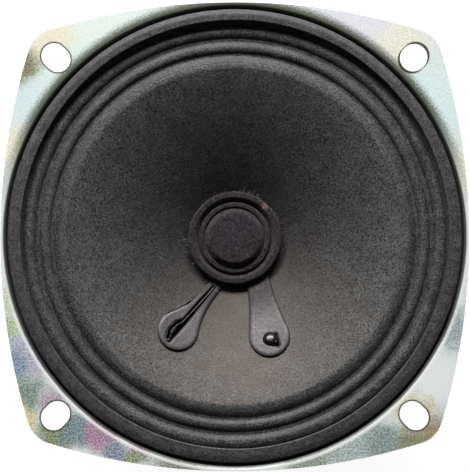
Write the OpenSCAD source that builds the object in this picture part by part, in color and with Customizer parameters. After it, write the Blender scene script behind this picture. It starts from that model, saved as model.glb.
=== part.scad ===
// Four inch loudspeaker driver: pressed steel basket, ferrite ring magnet and a paper cone.
// The origin is the middle of the flange's front face, and +Z points out of the cone.
// The leads come out of the front of the cone on its -Y side, above the terminals.

/* [Flange] */
// Width of the flange across the middle of its bulging sides
flange_w = 102; // [85:1:124]
// Radius of the bulge of each side
side_r = 137; // [110:1:200]
// Rounding radius of the four corners
corner_r = 6.5; // [3:0.5:8]
// Thickness of the pressed steel sheet
sheet_t = 0.8; // [0.6:0.1:1]
// Flat width left between the recess lip and the middle of a side
side_margin = 0.2; // [0.2:0.1:2]
// Width of the three long mounting slots
slot_w = 5.5; // [4:0.1:6]
// End to end length of the three long mounting slots
slot_l = 6.7; // [6.2:0.1:8]
// Width of the nearly round fourth slot
short_slot_w = 5.7; // [4:0.1:6]
// End to end length of the nearly round fourth slot
short_slot_l = 6.1; // [6.1:0.1:8]
// Land between the recess lip and the inner end of a long slot
slot_land = 0.9; // [0.8:0.1:2.5]

/* [Basket] */
// Depth from the flange's front face to the back of the basket floor
basket_depth = 22; // [18:0.5:30]
// Depth of the recess that the edge of the cone lies in
recess_depth = 2.2; // [2:0.1:3]
// Width of the ledge at the bottom of the recess
ledge_w = 3.9; // [3.5:0.1:5]
// Depth of the well between the spider seat and the basket floor
well_depth = 4.2; // [3.5:0.1:5.5]
// Width of each of the four legs between the windows
leg_w = 11; // [9:0.5:14]
// Corner radius of the windows
window_corner_r = 2.2; // [1:0.1:3]
// Solid band of wall left above and below a window
window_band = 2.2; // [1.8:0.1:4]
// Inner width of the stiffening rib pressed into a leg
rib_w = 3; // [2:0.1:4]
// Height of the stiffening rib
rib_h = 1.2; // [0.6:0.1:1.6]

/* [Magnet] */
// Diameter of the top plate and the back plate
plate_d = 45; // [42:0.5:48]
// Thickness of the top plate
top_plate_t = 3; // [2.5:0.5:4]
// Thickness of the back plate
back_plate_t = 3; // [2.5:0.5:4]
// Outer diameter of the ring magnet
magnet_d = 50; // [46:0.5:60]
// Inner diameter of the ring magnet
magnet_bore = 22; // [21:0.5:26]
// Thickness of the ring magnet
magnet_t = 8.5; // [7:0.5:12]
// Chamfer round the edges of the ring magnet
magnet_chamfer = 0.8; // [0.4:0.1:1.2]
// Diameter of the spigot of the pole piece
spigot_d = 9; // [7:0.5:11]
// Circle that the plate rivets stand on
rivet_circle_d = 32; // [30:0.5:34]
// Shank diameter of a plate rivet
rivet_d = 3; // [2.5:0.1:3.5]

/* [Voice coil] */
// Inner diameter of the voice coil former
coil_bore = 14.3; // [12:0.1:17.5]
// Wall thickness of the former
former_t = 0.2; // [0.15:0.05:0.3]
// Clearance between the pole piece and the former
pole_clearance = 0.3; // [0.2:0.05:0.4]
// Clearance between the winding and the top plate
gap_clearance = 0.3; // [0.2:0.05:0.4]
// Height of the winding
winding_h = 6; // [5:0.5:7]
// Thickness of the winding
winding_t = 0.35; // [0.3:0.05:0.5]
// Diameter of the coil wire that runs out over the cone
coil_wire_d = 0.3; // [0.2:0.05:0.3]

/* [Cone] */
// Thickness of the cone paper
cone_t = 0.5; // [0.4:0.1:0.6]
// Depth of the crest of the cone's rim below the flange's front face
rim_depth = 1.2; // [1:0.1:1.6]
// Height of the cone's neck above the spider seat
neck_rise = 3.2; // [3:0.1:4]
// Length of the tube that the neck of the cone turns back along the former
neck_tube = 1.1; // [0.8:0.1:1.3]
// Width over which the flank of the cone curls into its rim
rim_curl = 0.8; // [0.6:0.1:2]
// Bow of the flank, where 1 is straight and more is steeper at the neck and flatter at the rim
cone_bow = 1.2; // [1:0.05:1.4]
// Width of the corrugated edge between the rim and the ledge
edge_w = 9.2; // [8:0.1:10]
// Thickness of the corrugated edge
edge_t = 0.4; // [0.3:0.05:0.5]
// Depth of the corrugations
edge_wave = 1.5; // [1:0.1:1.6]
// Width of the lap of the edge behind the rim
lap_w = 0.8; // [0.7:0.1:1]
// Narrowness of the valleys between the corrugations, where 1 is a plain wave
edge_power = 1.5; // [1:0.05:1.6]
// Width of the gasket ring
gasket_w = 2.8; // [2.8:0.1:3.2]
// Height of the gasket ring above the flange's front face
gasket_rise = 0.4; // [0.2:0.1:1]

/* [Dust cap and collar] */
// Overhang of the felt dust cap past the former
cap_overhang = 0.5; // [0.3:0.1:0.6]
// Thickness of the felt
felt_t = 1.1; // [0.9:0.1:1.5]
// Height of the dust cap's crown above its rim
crown_rise = 0.8; // [0.4:0.1:1.2]
// Width of the slope round the dust cap's crown
crown_slope = 1.3; // [0.8:0.1:1.8]
// Height of the former's front end above the neck of the cone
former_rise = 2.3; // [2:0.1:3]
// Width of the collar ring round the dust cap
collar_w = 2.7; // [2.2:0.1:3]
// Height of the collar's rim above the neck of the cone
collar_h = 3.8; // [3:0.1:4]

/* [Spider] */
// Outer diameter of the spider
spider_d = 49.2; // [44:0.2:54]
// Width of the spider's outer ring that is glued to its seat
spider_glue_w = 3.2; // [2.6:0.1:4]
// Thickness of the spider cloth
spider_t = 0.3; // [0.25:0.05:0.4]
// Number of corrugations in the spider
spider_waves = 4; // [3:1:4]
// Height of a corrugation from its middle to its crest
spider_wave = 0.7; // [0.4:0.1:0.8]

/* [Leads and glue] */
// Diameter of a braided tinsel lead
tinsel_d = 0.9; // [0.7:0.1:1]
// Thickness of the glue drops over the coil wires
glue_t = 0.7; // [0.6:0.05:0.9]
// Radius of the round end of the left glue drop
left_drop_r = 4.5; // [3.8:0.1:4.8]
// Radius of the round end of the right glue drop
right_drop_r = 4.5; // [4:0.1:4.8]

/* [Terminals] */
// Length of the terminal board across the leg
board_l = 22; // [20:0.5:26]
// Height of the terminal board along the leg
board_h = 9; // [8:0.5:10]
// Thickness of the terminal board
board_t = 1.5; // [1:0.1:2]
// Distance of each lug from the middle of the board
lug_x = 8; // [7:0.1:9]
// Width of a lug
lug_w = 2.8; // [2.4:0.1:3.2]
// Thickness of a lug
lug_t = 0.4; // [0.3:0.05:0.6]

/* [Hidden] */
$fn = 64;

// Clearance left by a film of glue or a free fit, a cut's run past a face, and the overlap of
// the flange with the top of the bowl, which are one sheet
film = 0.05;
past = 1;
weld = 0.1;

// Flange and recess, from the outside in
half_w = flange_w / 2;
convex_bend = sheet_t + 0.2;
concave_bend = 0.4;
lip_r = half_w - side_margin;
recess_r = lip_r - convex_bend;
ledge_r = recess_r - ledge_w;
side_centre = side_r - half_w;
corner_at = (sqrt(2 * pow(side_r - corner_r, 2) - side_centre * side_centre) - side_centre) / 2;
corner_turn = atan2(corner_at, corner_at + side_centre);
slot_at = (lip_r + slot_land + slot_l / 2) / sqrt(2);

// Basket wall, spider seat and floor
floor_z = sheet_t - basket_depth;
seat_z = floor_z + well_depth;
seat_r = spider_d / 2 + 0.6;
well_r = spider_d / 2 - spider_glue_w - 0.4;
well_taper = 0.6;
floor_hole_r = coil_bore / 2 + 2.4;
wall_run = ledge_r - seat_r;
wall_drop = -recess_depth - seat_z;
wall_slope = atan2(wall_drop, wall_run);

// Spider, lying on its seat
spider_z = seat_z + spider_t / 2;
spider_neck_h = 0.8;

// Magnet system, from the front to the back
plate_top = -basket_depth;
plate_under = plate_top - top_plate_t;
magnet_under = plate_under - magnet_t;
back_z = magnet_under - back_plate_t;
pole_r = coil_bore / 2 - pole_clearance;
former_r = coil_bore / 2 + former_t;
winding_r = former_r + film + winding_t;
gap_r = winding_r + gap_clearance;
countersink = 0.6;

// Cone, from the neck out to its scarfed rim and the corrugated edge
neck_gap = 0.15;
neck_r = former_r + neck_gap;
neck_z = seat_z + neck_rise;
rim_z = -rim_depth;
flat_r = recess_r - concave_bend - film;
edge_out_r = ledge_r + 0.2;
rim_r = edge_out_r - edge_w;
scarf_w = 0.5;
curl_r = rim_r + scarf_w - lap_w - rim_curl / 2;
flank_steps = 12;
flank_step = (curl_r - neck_r) / flank_steps;
rim_tilt = atan((rim_z - cone_z(curl_r - flank_step)) / flank_step);
former_top = neck_z + former_rise;
winding_mid = plate_top - top_plate_t / 2;
former_end = winding_mid - winding_h / 2 - 0.5;

// Coil wires: the angle at which each leaves the former, and the tinsel hole that it runs to
wire_at = former_r + film + coil_wire_d / 2;
wire_lift = coil_wire_d / 2 + 0.1;
wire_slot_w = coil_wire_d + 0.4;
left_angle = 248;
right_angle = 295;
left_hole = [-14.4, -22.4];
right_hole = [7.7, -22.4];
bead_r = 0.75;
tinsel_rise = wire_lift + coil_wire_d / 2 + film;

// Glue drops: the middle of the neck and of the round end of each, its half width at the neck,
// and the angle at which its flank runs into the round end
left_neck = [-3, -9.6];
left_end = [-12.35, -20.3];
left_neck_w = 1.5;
left_shoulder = 30;
right_neck = [4.95, -8.7];
right_end = [7.55, -21.6];
right_neck_w = 2.6;
right_shoulder = 15;

// Terminal board, lying on the back of the front leg
board_r = (ledge_r + seat_r) / 2 - 1;
board_z = wall_z(board_r);
board_film = 0.1;
lug_top = 6.2;
lug_tail = -7.6;
eyelet_r = 1;

// Colours
zinc = [0.74, 0.74, 0.66];
steel = [0.62, 0.63, 0.64];
ferrite = [0.2, 0.2, 0.21];
black_paper = [0.17, 0.17, 0.18];
felt = [0.22, 0.2, 0.22];
glue = [0.3, 0.3, 0.31];
copper = [0.72, 0.42, 0.24];
amber = [0.74, 0.56, 0.3];
phenolic = [0.5, 0.32, 0.17];
tin = [0.78, 0.78, 0.76];

// Plane geometry
function unit(v) = v / norm(v);
function left_of(v) = [-v[1], v[0]];
function flat(p) = [p[0], p[1]];
function reversed(p) = [for (i = [len(p) - 1:-1:0]) p[i]];
function on_circle(c, r, a) = c + r * [cos(a), sin(a)];
function arc(c, r, a, b, n) = [for (i = [0:n]) on_circle(c, r, a + (b - a) * i / n)];
function turned(p, a) = [for (q = p) [q[0] * cos(a) - q[1] * sin(a), q[0] * sin(a) + q[1] * cos(a)]];

// Arc of radius r that rounds the corner b between a and c
function bend(a, b, c, r) =
    let (
        u = unit(a - b),
        v = unit(c - b),
        half = acos(u * v) / 2,
        mid = b + unit(u + v) * r / sin(half),
        from = b + u * r / tan(half) - mid,
        to = b + v * r / tan(half) - mid,
        a0 = atan2(from[1], from[0]),
        swing = atan2(from[0] * to[1] - from[1] * to[0], from * to),
        n = max(2, ceil(abs(swing) / 15))
    )
    arc(mid, r, a0, a0 + swing, n);

// Path with rounded corners, from points that each give a place and a bend radius
function rounded_path(p) = [
    for (i = [0:len(p) - 1]) each
        p[i][2] == 0 ? [flat(p[i])] : bend(flat(p[i - 1]), flat(p[i]), flat(p[i + 1]), p[i][2])
];

// Closed outline with every corner rounded
function rounded_loop(p, r) = [
    for (i = [0:len(p) - 1]) each
        bend(p[(i + len(p) - 1) % len(p)], p[i], p[(i + 1) % len(p)], r)
];

// Path moved sideways by d, to the left of its direction
function side(p, i) = left_of(unit(p[i + 1] - p[i]));
function mitre(p, i) =
    i == 0 ? side(p, 0) :
    i == len(p) - 1 ? side(p, i - 1) :
    let (a = side(p, i - 1), b = side(p, i)) (a + b) / (1 + a * b);
function moved(p, d) = [for (i = [0:len(p) - 1]) p[i] + d * mitre(p, i)];

// Outline of a sheet that lies on the left of a path, or half on each side of it
function sheet(p, t) = concat(p, reversed(moved(p, t)));
function ribbon(p, t) = concat(moved(p, t / 2), reversed(moved(p, -t / 2)));

// Smooth wave through turning points, each a radius and a height; a power over 1 narrows the valleys
function wave(p, n, power) = [
    for (i = [0:len(p) - 2]) for (k = [0:n - 1])
        let (
            a = p[i],
            b = p[i + 1],
            swing = a[1] > b[1] ? cos(180 * k / n) : -cos(180 * k / n)
        )
        [a[0] + (b[0] - a[0]) * k / n, min(a[1], b[1]) + abs(b[1] - a[1]) * pow((1 + swing) / 2, 1 / power)]
];

// Height of the front face of the basket wall, and of the cone's flank, at a radius
function wall_z(r) = seat_z + (r - seat_r) * wall_drop / wall_run;
function cone_z(r) = rim_z - (rim_z - neck_z) * pow(max(0, (curl_r - r) / (curl_r - neck_r)), cone_bow);
function on_cone(p, lift) = [p[0], p[1], cone_z(norm(p)) + lift];

// Point at a share of the way up the basket wall, and a distance behind its front face
function wall_point(share, behind) =
    [seat_r + wall_run * share, seat_z + wall_drop * share] + behind * [sin(wall_slope), -cos(wall_slope)];

// Round tube of eight sides along a route, as one closed solid
module tube(route, d, across) {
    n = len(route);
    rings = [
        for (i = [0:n - 1])
            let (
                a = i == 0 ? [0, 0, 0] : unit(route[i] - route[i - 1]),
                b = i == n - 1 ? [0, 0, 0] : unit(route[i + 1] - route[i]),
                t = unit(a + b),
                u = unit(across - (across * t) * t),
                v = cross(t, u)
            )
            for (k = [0:7]) route[i] + d / 2 * (cos(45 * k) * u + sin(45 * k) * v)
    ];
    walls = [
        for (i = [0:n - 2]) for (k = [0:7]) each
            let (p = 8 * i + k, q = 8 * i + (k + 1) % 8)
            [[p, p + 8, q + 8], [p, q + 8, q]]
    ];
    first = [for (k = [1:6]) [0, k, k + 1]];
    last = [for (k = [1:6]) [8 * n - 8, 8 * n - 8 + k + 1, 8 * n - 8 + k]];
    polyhedron(rings, concat(walls, first, last));
}

// Flange outline: four bulging sides joined by rounded corners
function flange_quarter() = concat(
    arc([-side_centre, 0], side_r, 0, corner_turn, 10),
    arc([corner_at, corner_at], corner_r, corner_turn + 5, 85 - corner_turn, 7),
    arc([0, -side_centre], side_r, 90 - corner_turn, 90, 10)
);

function flange_outline() = [
    for (k = [0:3]) each
        let (q = turned(flange_quarter(), 90 * k)) [for (i = [0:len(q) - 2]) q[i]]
];

// Mounting slot that lies along a diagonal
module diagonal_slot(angle, w, l) {
    rotate(angle)
    translate([slot_at * sqrt(2), 0])
    union() {
        translate([(w - l) / 2, 0]) circle(d = w);
        translate([(l - w) / 2, 0]) circle(d = w);
        square([l - w, w], center = true);
    }
}

// Outline of one window, between two legs
function window_outline() =
    let (
        inner = seat_r + window_band,
        outer = ledge_r - window_band,
        a = asin(leg_w / 2 / inner),
        b = asin(leg_w / 2 / outer),
        r = window_corner_r,
        middle = on_circle([0, 0], inner, 45),
        far_foot = on_circle([0, 0], inner, 90 - a),
        far_top = on_circle([0, 0], outer, 90 - b)
    )
    concat(
        bend(on_circle([0, 0], outer, b), on_circle([0, 0], inner, a), on_circle([0, 0], inner, 45), r),
        [middle],
        bend(middle, far_foot, far_top, r),
        bend(far_foot, far_top, on_circle([0, 0], outer, 70), r),
        arc([0, 0], outer, 72, 18, 6),
        bend(on_circle([0, 0], outer, 20), on_circle([0, 0], outer, b), on_circle([0, 0], inner, a), r)
    );

// Rib of a leg: a side view, pressed out behind the wall
module leg_rib(width, from, to) {
    rotate([90, 0, 0])
    translate([0, 0, -width / 2])
    linear_extrude(width)
    polygon([
        wall_point(0.2, from),
        wall_point(0.28, to),
        wall_point(0.72, to),
        wall_point(0.8, from)
    ]);
}

module basket() {
    path = rounded_path([
        [lip_r + weld, 0, 0],
        [recess_r, 0, convex_bend],
        [recess_r, -recess_depth, concave_bend],
        [ledge_r, -recess_depth, convex_bend],
        [seat_r, seat_z, concave_bend],
        [well_r, seat_z, convex_bend],
        [well_r - well_taper, floor_z, concave_bend],
        [floor_hole_r, floor_z, 0]
    ]);
    color(zinc)
    difference() {
        union() {
            translate([0, 0, -sheet_t])
            linear_extrude(sheet_t)
            difference() {
                polygon(flange_outline());
                circle(r = lip_r);
                for (a = [135, 225, 315]) diagonal_slot(a, slot_w, slot_l);
                diagonal_slot(45, short_slot_w, short_slot_l);
            }
            rotate_extrude() polygon(sheet(path, sheet_t));
            for (a = [0, 90, 180]) rotate(a) leg_rib(rib_w + 2 * sheet_t, sheet_t / 2, sheet_t + rib_h);
        }
        for (a = [0, 90, 180]) rotate(a) leg_rib(rib_w, -past, rib_h);
        for (a = [0:90:270])
            rotate(a)
            translate([0, 0, -basket_depth])
            linear_extrude(basket_depth - recess_depth)
            polygon(window_outline());
        for (a = [45:90:315])
            rotate(a)
            translate([rivet_circle_d / 2, 0, floor_z - sheet_t - past])
            cylinder(d = rivet_d + 2 * film, h = sheet_t + 2 * past);
        on_board() cylinder(r = eyelet_r + film, h = 8, center = true);
    }
}

module gasket_ring() {
    low = edge_t - recess_depth;
    outer = flat_r;
    inner = outer - gasket_w;
    color(black_paper)
    rotate_extrude()
    polygon(rounded_path([
        [inner, low, 0],
        [inner, gasket_rise, 0.8],
        [outer - 1.2, gasket_rise - 0.1, 2],
        [outer, gasket_rise - 0.5, 0.3],
        [outer, low, 0]
    ]));
}

// Corrugated edge of the cone, lapped behind its rim and glued to the ledge
module surround() {
    crest = rim_z - edge_t / 2;
    valley = crest - edge_wave;
    seat = edge_t / 2 - recess_depth;
    lap = rim_z - cone_t - edge_t / 2;
    turns = [
        [rim_r + scarf_w, lap],
        [rim_r + 0.30 * edge_w, valley],
        [rim_r + 0.46 * edge_w, crest],
        [rim_r + 0.66 * edge_w, valley],
        [rim_r + 0.83 * edge_w, crest],
        [edge_out_r, seat]
    ];
    color(black_paper)
    rotate_extrude()
    polygon(ribbon(concat(
        [[rim_r + scarf_w - lap_w + film, lap]],
        wave(turns, 8, edge_power),
        [[edge_out_r, seat], [flat_r, seat]]
    ), edge_t));
}

// Cone with a bowed flank, whose rim ends in a scarf on top of the edge
module cone() {
    path = rounded_path([
        [neck_r, neck_z - neck_tube, 0],
        [neck_r, neck_z, cone_t + 0.1],
        for (i = [1:flank_steps - 1]) let (r = neck_r + i * flank_step) [r, cone_z(r), 0],
        [curl_r, rim_z, rim_curl / 2 / tan(rim_tilt / 2)],
        [rim_r, rim_z, 0]
    ]);
    tip = rim_r + scarf_w;
    foot = rim_z - cone_t;
    color(black_paper)
    difference() {
        rotate_extrude()
        polygon(concat(path, [[tip, foot + 0.1], [tip, foot]], reversed(moved(path, -cone_t))));
        for (p = [left_hole, right_hole])
            translate(on_cone(p, -2)) cylinder(d = tinsel_d + 0.4, h = 4);
        for (a = [left_angle, right_angle]) wire_channel(a);
    }
}

// Channel for a coil wire up the outside of the former
module wire_channel(angle) {
    rotate(angle)
    translate([wire_at, 0, winding_mid + winding_h / 2])
    cylinder(r = wire_slot_w / 2, h = neck_z + past - winding_mid - winding_h / 2);
}

// Slot for a coil wire under a piece that lies on the cone, along a radius
module wire_slot(angle) {
    h = wire_lift + coil_wire_d / 2 + 0.3;
    reach = neck_r + collar_w + past;
    rotate(angle)
    rotate([90, 0, 0])
    translate([0, 0, -wire_slot_w / 2])
    linear_extrude(wire_slot_w)
    polygon([
        [former_r, neck_z - past],
        [reach, cone_z(reach) - past],
        [reach, cone_z(reach) + h],
        [former_r, cone_z(former_r) + h]
    ]);
}

// Funnel shaped ring in the neck of the cone, round the dust cap
module neck_collar() {
    outer = neck_r + collar_w;
    rim = neck_z + collar_h;
    color(felt)
    difference() {
        rotate_extrude()
        polygon(rounded_path([
            [neck_r, cone_z(neck_r) + film, 0],
            [neck_r, former_top - cap_overhang, 0.2],
            [outer - 1.3, rim, 0.5],
            [outer, rim, 0.5],
            [outer, cone_z(outer) + film, 0]
        ]));
        for (a = [left_angle, right_angle]) wire_slot(a);
    }
}

// Pressed felt cap with a rolled rim, a groove and a raised crown
module dust_cap() {
    rim = former_r + cap_overhang;
    top = former_top + felt_t;
    crown = top + crown_rise;
    groove = former_r - 0.75;
    color(felt)
    rotate_extrude()
    polygon(rounded_path([
        [0, former_top + crown_rise, 0],
        [groove - crown_slope, former_top + crown_rise, 0.4],
        [groove, former_top, 0.4],
        [rim, former_top, 0.3],
        [rim, top, 0.45],
        [groove + 0.25, top, 0.3],
        [groove, top - 0.4, 0.1],
        [groove - 0.2, top - 0.1, 0.2],
        [groove - crown_slope, crown, 0.9],
        [0, crown + 0.1, 0]
    ]));
}

module voice_coil_former() {
    color(amber)
    translate([0, 0, former_end])
    difference() {
        cylinder(r = former_r, h = former_top - former_end);
        translate([0, 0, -past]) cylinder(d = coil_bore, h = former_top - former_end + 2 * past);
    }
}

module voice_coil_winding() {
    color(copper)
    translate([0, 0, winding_mid - winding_h / 2])
    difference() {
        cylinder(r = winding_r, h = winding_h);
        translate([0, 0, -past]) cylinder(r = former_r + film, h = winding_h + 2 * past);
    }
}

// Route of a coil wire: up the former, over the neck of the cone and out to the tinsel hole
function wire_route(angle, hole) =
    let (
        spoke = [cos(angle), sin(angle)],
        out = (neck_r + collar_w + 0.5) * spoke,
        stop = hole - unit(hole - out) * (tinsel_d / 2 + film + coil_wire_d / 2),
        low = winding_mid + winding_h / 2
    )
    [
        [each wire_at * spoke, low],
        [each wire_at * spoke, (low + neck_z) / 2],
        [each wire_at * spoke, neck_z - 0.6],
        [each (wire_at + 0.1) * spoke, neck_z + 0.05],
        [each (wire_at + 0.45) * spoke, cone_z(wire_at + 0.45) + wire_lift + 0.08],
        for (t = [0:0.25:1]) on_cone(out + t * (stop - out), wire_lift)
    ];

module coil_wire(angle, hole) {
    color(copper) tube(wire_route(angle, hole), coil_wire_d, [-sin(angle), cos(angle), 0]);
}

// Drop shaped outline that widens from a neck to a round end
function drop_outline(neck, end, neck_w, end_r, shoulder) =
    let (
        axis = unit(end - neck),
        across = left_of(axis),
        turn = atan2(axis[1], axis[0]),
        reach = norm(end - neck) - end_r * sin(shoulder),
        widening = end_r * cos(shoulder) - neck_w,
        power = tan(shoulder) * reach / widening,
        flank = [for (s = [0:0.125:0.875]) [s * reach, neck_w + widening * pow(s, power)]]
    )
    concat(
        [for (f = flank) neck + axis * f[0] - across * f[1]],
        arc(end, end_r, turn - 90 - shoulder, turn + 90 + shoulder, 18),
        [for (f = reversed(flank)) neck + axis * f[0] + across * f[1]]
    );

// Stations from one radius to another at a height over the flank
function flank_line(from, to, lift) =
    [for (t = [0:0.125:1]) let (r = from + t * (to - from)) [r, cone_z(r) + lift]];

// Layer of glue that lies on the flank of the cone inside an outline
module glue_layer(outline) {
    inner = neck_r + collar_w + 0.1;
    outer = 30;
    intersection() {
        rotate_extrude()
        polygon(concat(flank_line(inner, outer, film), reversed(flank_line(inner, outer, glue_t))));
        translate([0, 0, neck_z - past]) linear_extrude(-neck_z) polygon(outline);
    }
}

// Channel round the run of a coil wire on the cone, between two heights over the flank
module run_channel(angle, hole, low, high) {
    start = (neck_r + collar_w) * [cos(angle), sin(angle)];
    run = hole - start;
    stations = [for (t = [0:0.125:1]) [t * norm(run), cone_z(norm(start + t * run))]];
    translate([start[0], start[1], 0])
    rotate([90, 0, atan2(run[1], run[0])])
    translate([0, 0, -wire_slot_w / 2])
    linear_extrude(wire_slot_w)
    polygon(concat([for (p = stations) p + [0, low]], [for (p = reversed(stations)) p + [0, high]]));
}

module glue_drop_left() {
    color(glue)
    difference() {
        glue_layer(drop_outline(left_neck, left_end, left_neck_w, left_drop_r, left_shoulder));
        run_channel(left_angle, left_hole, -past, glue_t + past);
        translate(on_cone(left_hole, -past)) cylinder(r = bead_r + 0.15, h = 3);
    }
}

module glue_drop_right() {
    color(glue)
    difference() {
        glue_layer(drop_outline(right_neck, right_end, right_neck_w, right_drop_r, right_shoulder));
        run_channel(right_angle, right_hole, -past, wire_lift + coil_wire_d / 2 + film);
        translate(on_cone(right_hole, -past)) cylinder(r = bead_r + 0.9, h = 3);
    }
}

// Beads of solder that join the coil wires to the ends of the tinsel leads
module cone_solder_beads() {
    color(tin)
    for (p = [left_hole, right_hole])
        translate(on_cone(p, tinsel_rise))
        intersection() {
            translate([0, 0, -0.2]) sphere(r = bead_r);
            cylinder(r = bead_r, h = bead_r);
        }
}

// Bead of glue round the former, under the neck of a piece
module neck_bead(z, w, h) {
    color(amber)
    difference() {
        rotate_extrude()
        polygon([[former_r + film, z], [former_r + film + w, z], [former_r + film, z + h]]);
        for (a = [left_angle, right_angle]) wire_channel(a);
    }
}

module cone_neck_glue() {
    neck_bead(neck_z - neck_tube, 0.55, -0.5);
}

// Corrugated cloth disc that centres the voice coil
module spider() {
    first = neck_r + 1.6;
    last = well_r + 0.1;
    step = (last - first) / spider_waves;
    turns = [
        for (i = [0:2 * spider_waves])
            [
                first + step * i / 2,
                spider_z + (i == 0 || i == 2 * spider_waves ? 0 : i % 2 == 1 ? spider_wave : -spider_wave)
            ]
    ];
    color(amber)
    difference() {
        rotate_extrude()
        polygon(ribbon(concat(
            rounded_path([
                [neck_r + spider_t / 2, spider_z + spider_neck_h, 0],
                [neck_r + spider_t / 2, spider_z, 0.35],
                [first - 0.4, spider_z, 0]
            ]),
            wave(turns, 8, 1),
            [[last, spider_z], [spider_d / 2, spider_z]]
        ), spider_t));
        for (a = [left_angle, right_angle]) wire_channel(a);
    }
}

module spider_neck_glue() {
    neck_bead(spider_z + spider_neck_h, 0.65, 0.4);
}

// Places of the four plate rivets
module at_rivets() {
    for (a = [45:90:315]) rotate(a) translate([rivet_circle_d / 2, 0, 0]) children();
}

module top_plate() {
    color(steel)
    translate([0, 0, plate_under])
    difference() {
        cylinder(d = plate_d, h = top_plate_t);
        translate([0, 0, -past]) cylinder(r = gap_r, h = top_plate_t + 2 * past);
        at_rivets() {
            translate([0, 0, -past]) cylinder(d = rivet_d + 2 * film, h = top_plate_t + 2 * past);
            cylinder(d1 = rivet_d + 2 * film + 2 * countersink, d2 = rivet_d + 2 * film, h = countersink);
        }
    }
}

// Rivets with a domed head on the basket floor and a tail swaged flush under the top plate
module plate_rivets() {
    low = plate_under + film;
    color(steel)
    at_rivets()
    rotate_extrude()
    polygon([
        [0, low],
        [rivet_d / 2 + countersink - 2 * film, low],
        [rivet_d / 2, plate_under + countersink],
        [rivet_d / 2, floor_z],
        [rivet_d / 2 + 1, floor_z],
        [rivet_d / 2 + 0.8, floor_z + 0.45],
        [rivet_d / 2, floor_z + 0.7],
        [0, floor_z + 0.8]
    ]);
}

module magnet() {
    r = magnet_d / 2;
    bore = magnet_bore / 2;
    c = magnet_chamfer;
    color(ferrite)
    rotate_extrude()
    polygon([
        [bore, magnet_under + c / 2],
        [bore + c / 2, magnet_under],
        [r - c, magnet_under],
        [r, magnet_under + c],
        [r, plate_under - c],
        [r - c, plate_under],
        [bore + c / 2, plate_under],
        [bore, plate_under - c / 2]
    ]);
}

module back_plate() {
    color(steel)
    translate([0, 0, back_z])
    difference() {
        rotate_extrude()
        polygon([
            [0, 0],
            [plate_d / 2 - 0.4, 0],
            [plate_d / 2, 0.4],
            [plate_d / 2, back_plate_t],
            [0, back_plate_t]
        ]);
        translate([0, 0, -past]) cylinder(d = spigot_d + 2 * film, h = back_plate_t + 2 * past);
        cylinder(d1 = spigot_d + 2 * film + 2 * countersink, d2 = spigot_d + 2 * film, h = countersink);
    }
}

// Centre pole, with a spigot that is swaged into the back plate
module pole_piece() {
    color(steel)
    rotate_extrude()
    polygon([
        [0, back_z + 0.2],
        [spigot_d / 2 + countersink - 0.3, back_z + 0.2],
        [spigot_d / 2, back_z + countersink],
        [spigot_d / 2, magnet_under],
        [pole_r, magnet_under],
        [pole_r, plate_top - 0.5],
        [pole_r - 0.5, plate_top],
        [0, plate_top]
    ]);
}

// Places a piece on the back of the front leg: x across the leg, y up it, z away from it
module on_board() {
    behind = sheet_t + board_film;
    translate([0, -board_r - behind * sin(wall_slope), board_z - behind * cos(wall_slope)])
    rotate([180 - wall_slope, 0, 0])
    children();
}

module terminal_board() {
    color(phenolic)
    on_board()
    linear_extrude(board_t)
    difference() {
        polygon(rounded_loop([
            [-board_l / 2, -board_h / 2],
            [board_l / 2, -board_h / 2],
            [board_l / 2, board_h / 2],
            [-board_l / 2, board_h / 2]
        ], 1));
        circle(r = eyelet_r + film);
        for (x = [-lug_x, lug_x]) translate([x, 0]) circle(r = eyelet_r + film);
    }
}

// Rivet with a domed head at one end and a rolled tail at the other
module rivet(low, high) {
    rotate_extrude()
    polygon([
        [0, low - 0.6],
        [eyelet_r + 0.5, low - 0.5],
        [eyelet_r + 0.8, low],
        [eyelet_r, low],
        [eyelet_r, high],
        [eyelet_r + 1, high],
        [eyelet_r + 0.7, high + 0.5],
        [0, high + 0.7]
    ]);
}

module board_rivet() {
    color(tin) on_board() rivet(-sheet_t - board_film - 0.1, board_t);
}

// Hollow eyelet that holds a lug on the board
module lug_eyelets() {
    color(tin)
    on_board()
    for (x = [-lug_x, lug_x])
        translate([x, 0, 0])
        rotate_extrude()
        polygon([
            [eyelet_r - 0.3, -0.3],
            [eyelet_r + 0.5, -0.3],
            [eyelet_r + 0.5, 0],
            [eyelet_r, 0],
            [eyelet_r, board_t + lug_t],
            [eyelet_r + 0.5, board_t + lug_t],
            [eyelet_r + 0.4, board_t + lug_t + 0.35],
            [eyelet_r - 0.3, board_t + lug_t + 0.35]
        ]);
}

// Solder lug: a waisted strip with an eye at each end
module terminal_lug(x) {
    top = lug_top + lug_w / 2;
    tail = lug_tail - 0.4;
    neck = lug_w / 2 - 0.5;
    color(tin)
    on_board()
    translate([x, 0, board_t])
    linear_extrude(lug_t)
    difference() {
        polygon(rounded_loop([
            [-lug_w / 2, top],
            [-lug_w / 2, lug_top - 1.4],
            [-neck, lug_top - 2.4],
            [-lug_w / 2 - 0.3, 1.6],
            [-lug_w / 2 - 0.3, -1.8],
            [-neck, -3.4],
            [-neck, lug_tail + 2.6],
            [-lug_w / 2, lug_tail + 1.6],
            [-lug_w / 2, tail],
            [lug_w / 2, tail],
            [lug_w / 2, lug_tail + 1.6],
            [neck, lug_tail + 2.6],
            [neck, -3.4],
            [lug_w / 2 + 0.3, -1.8],
            [lug_w / 2 + 0.3, 1.6],
            [neck, lug_top - 2.4],
            [lug_w / 2, lug_top - 1.4],
            [lug_w / 2, top]
        ], 0.35));
        circle(r = eyelet_r + film);
        translate([0, lug_tail + 1]) circle(r = 0.75);
        translate([0, lug_top]) circle(r = 0.5);
    }
}

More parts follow.
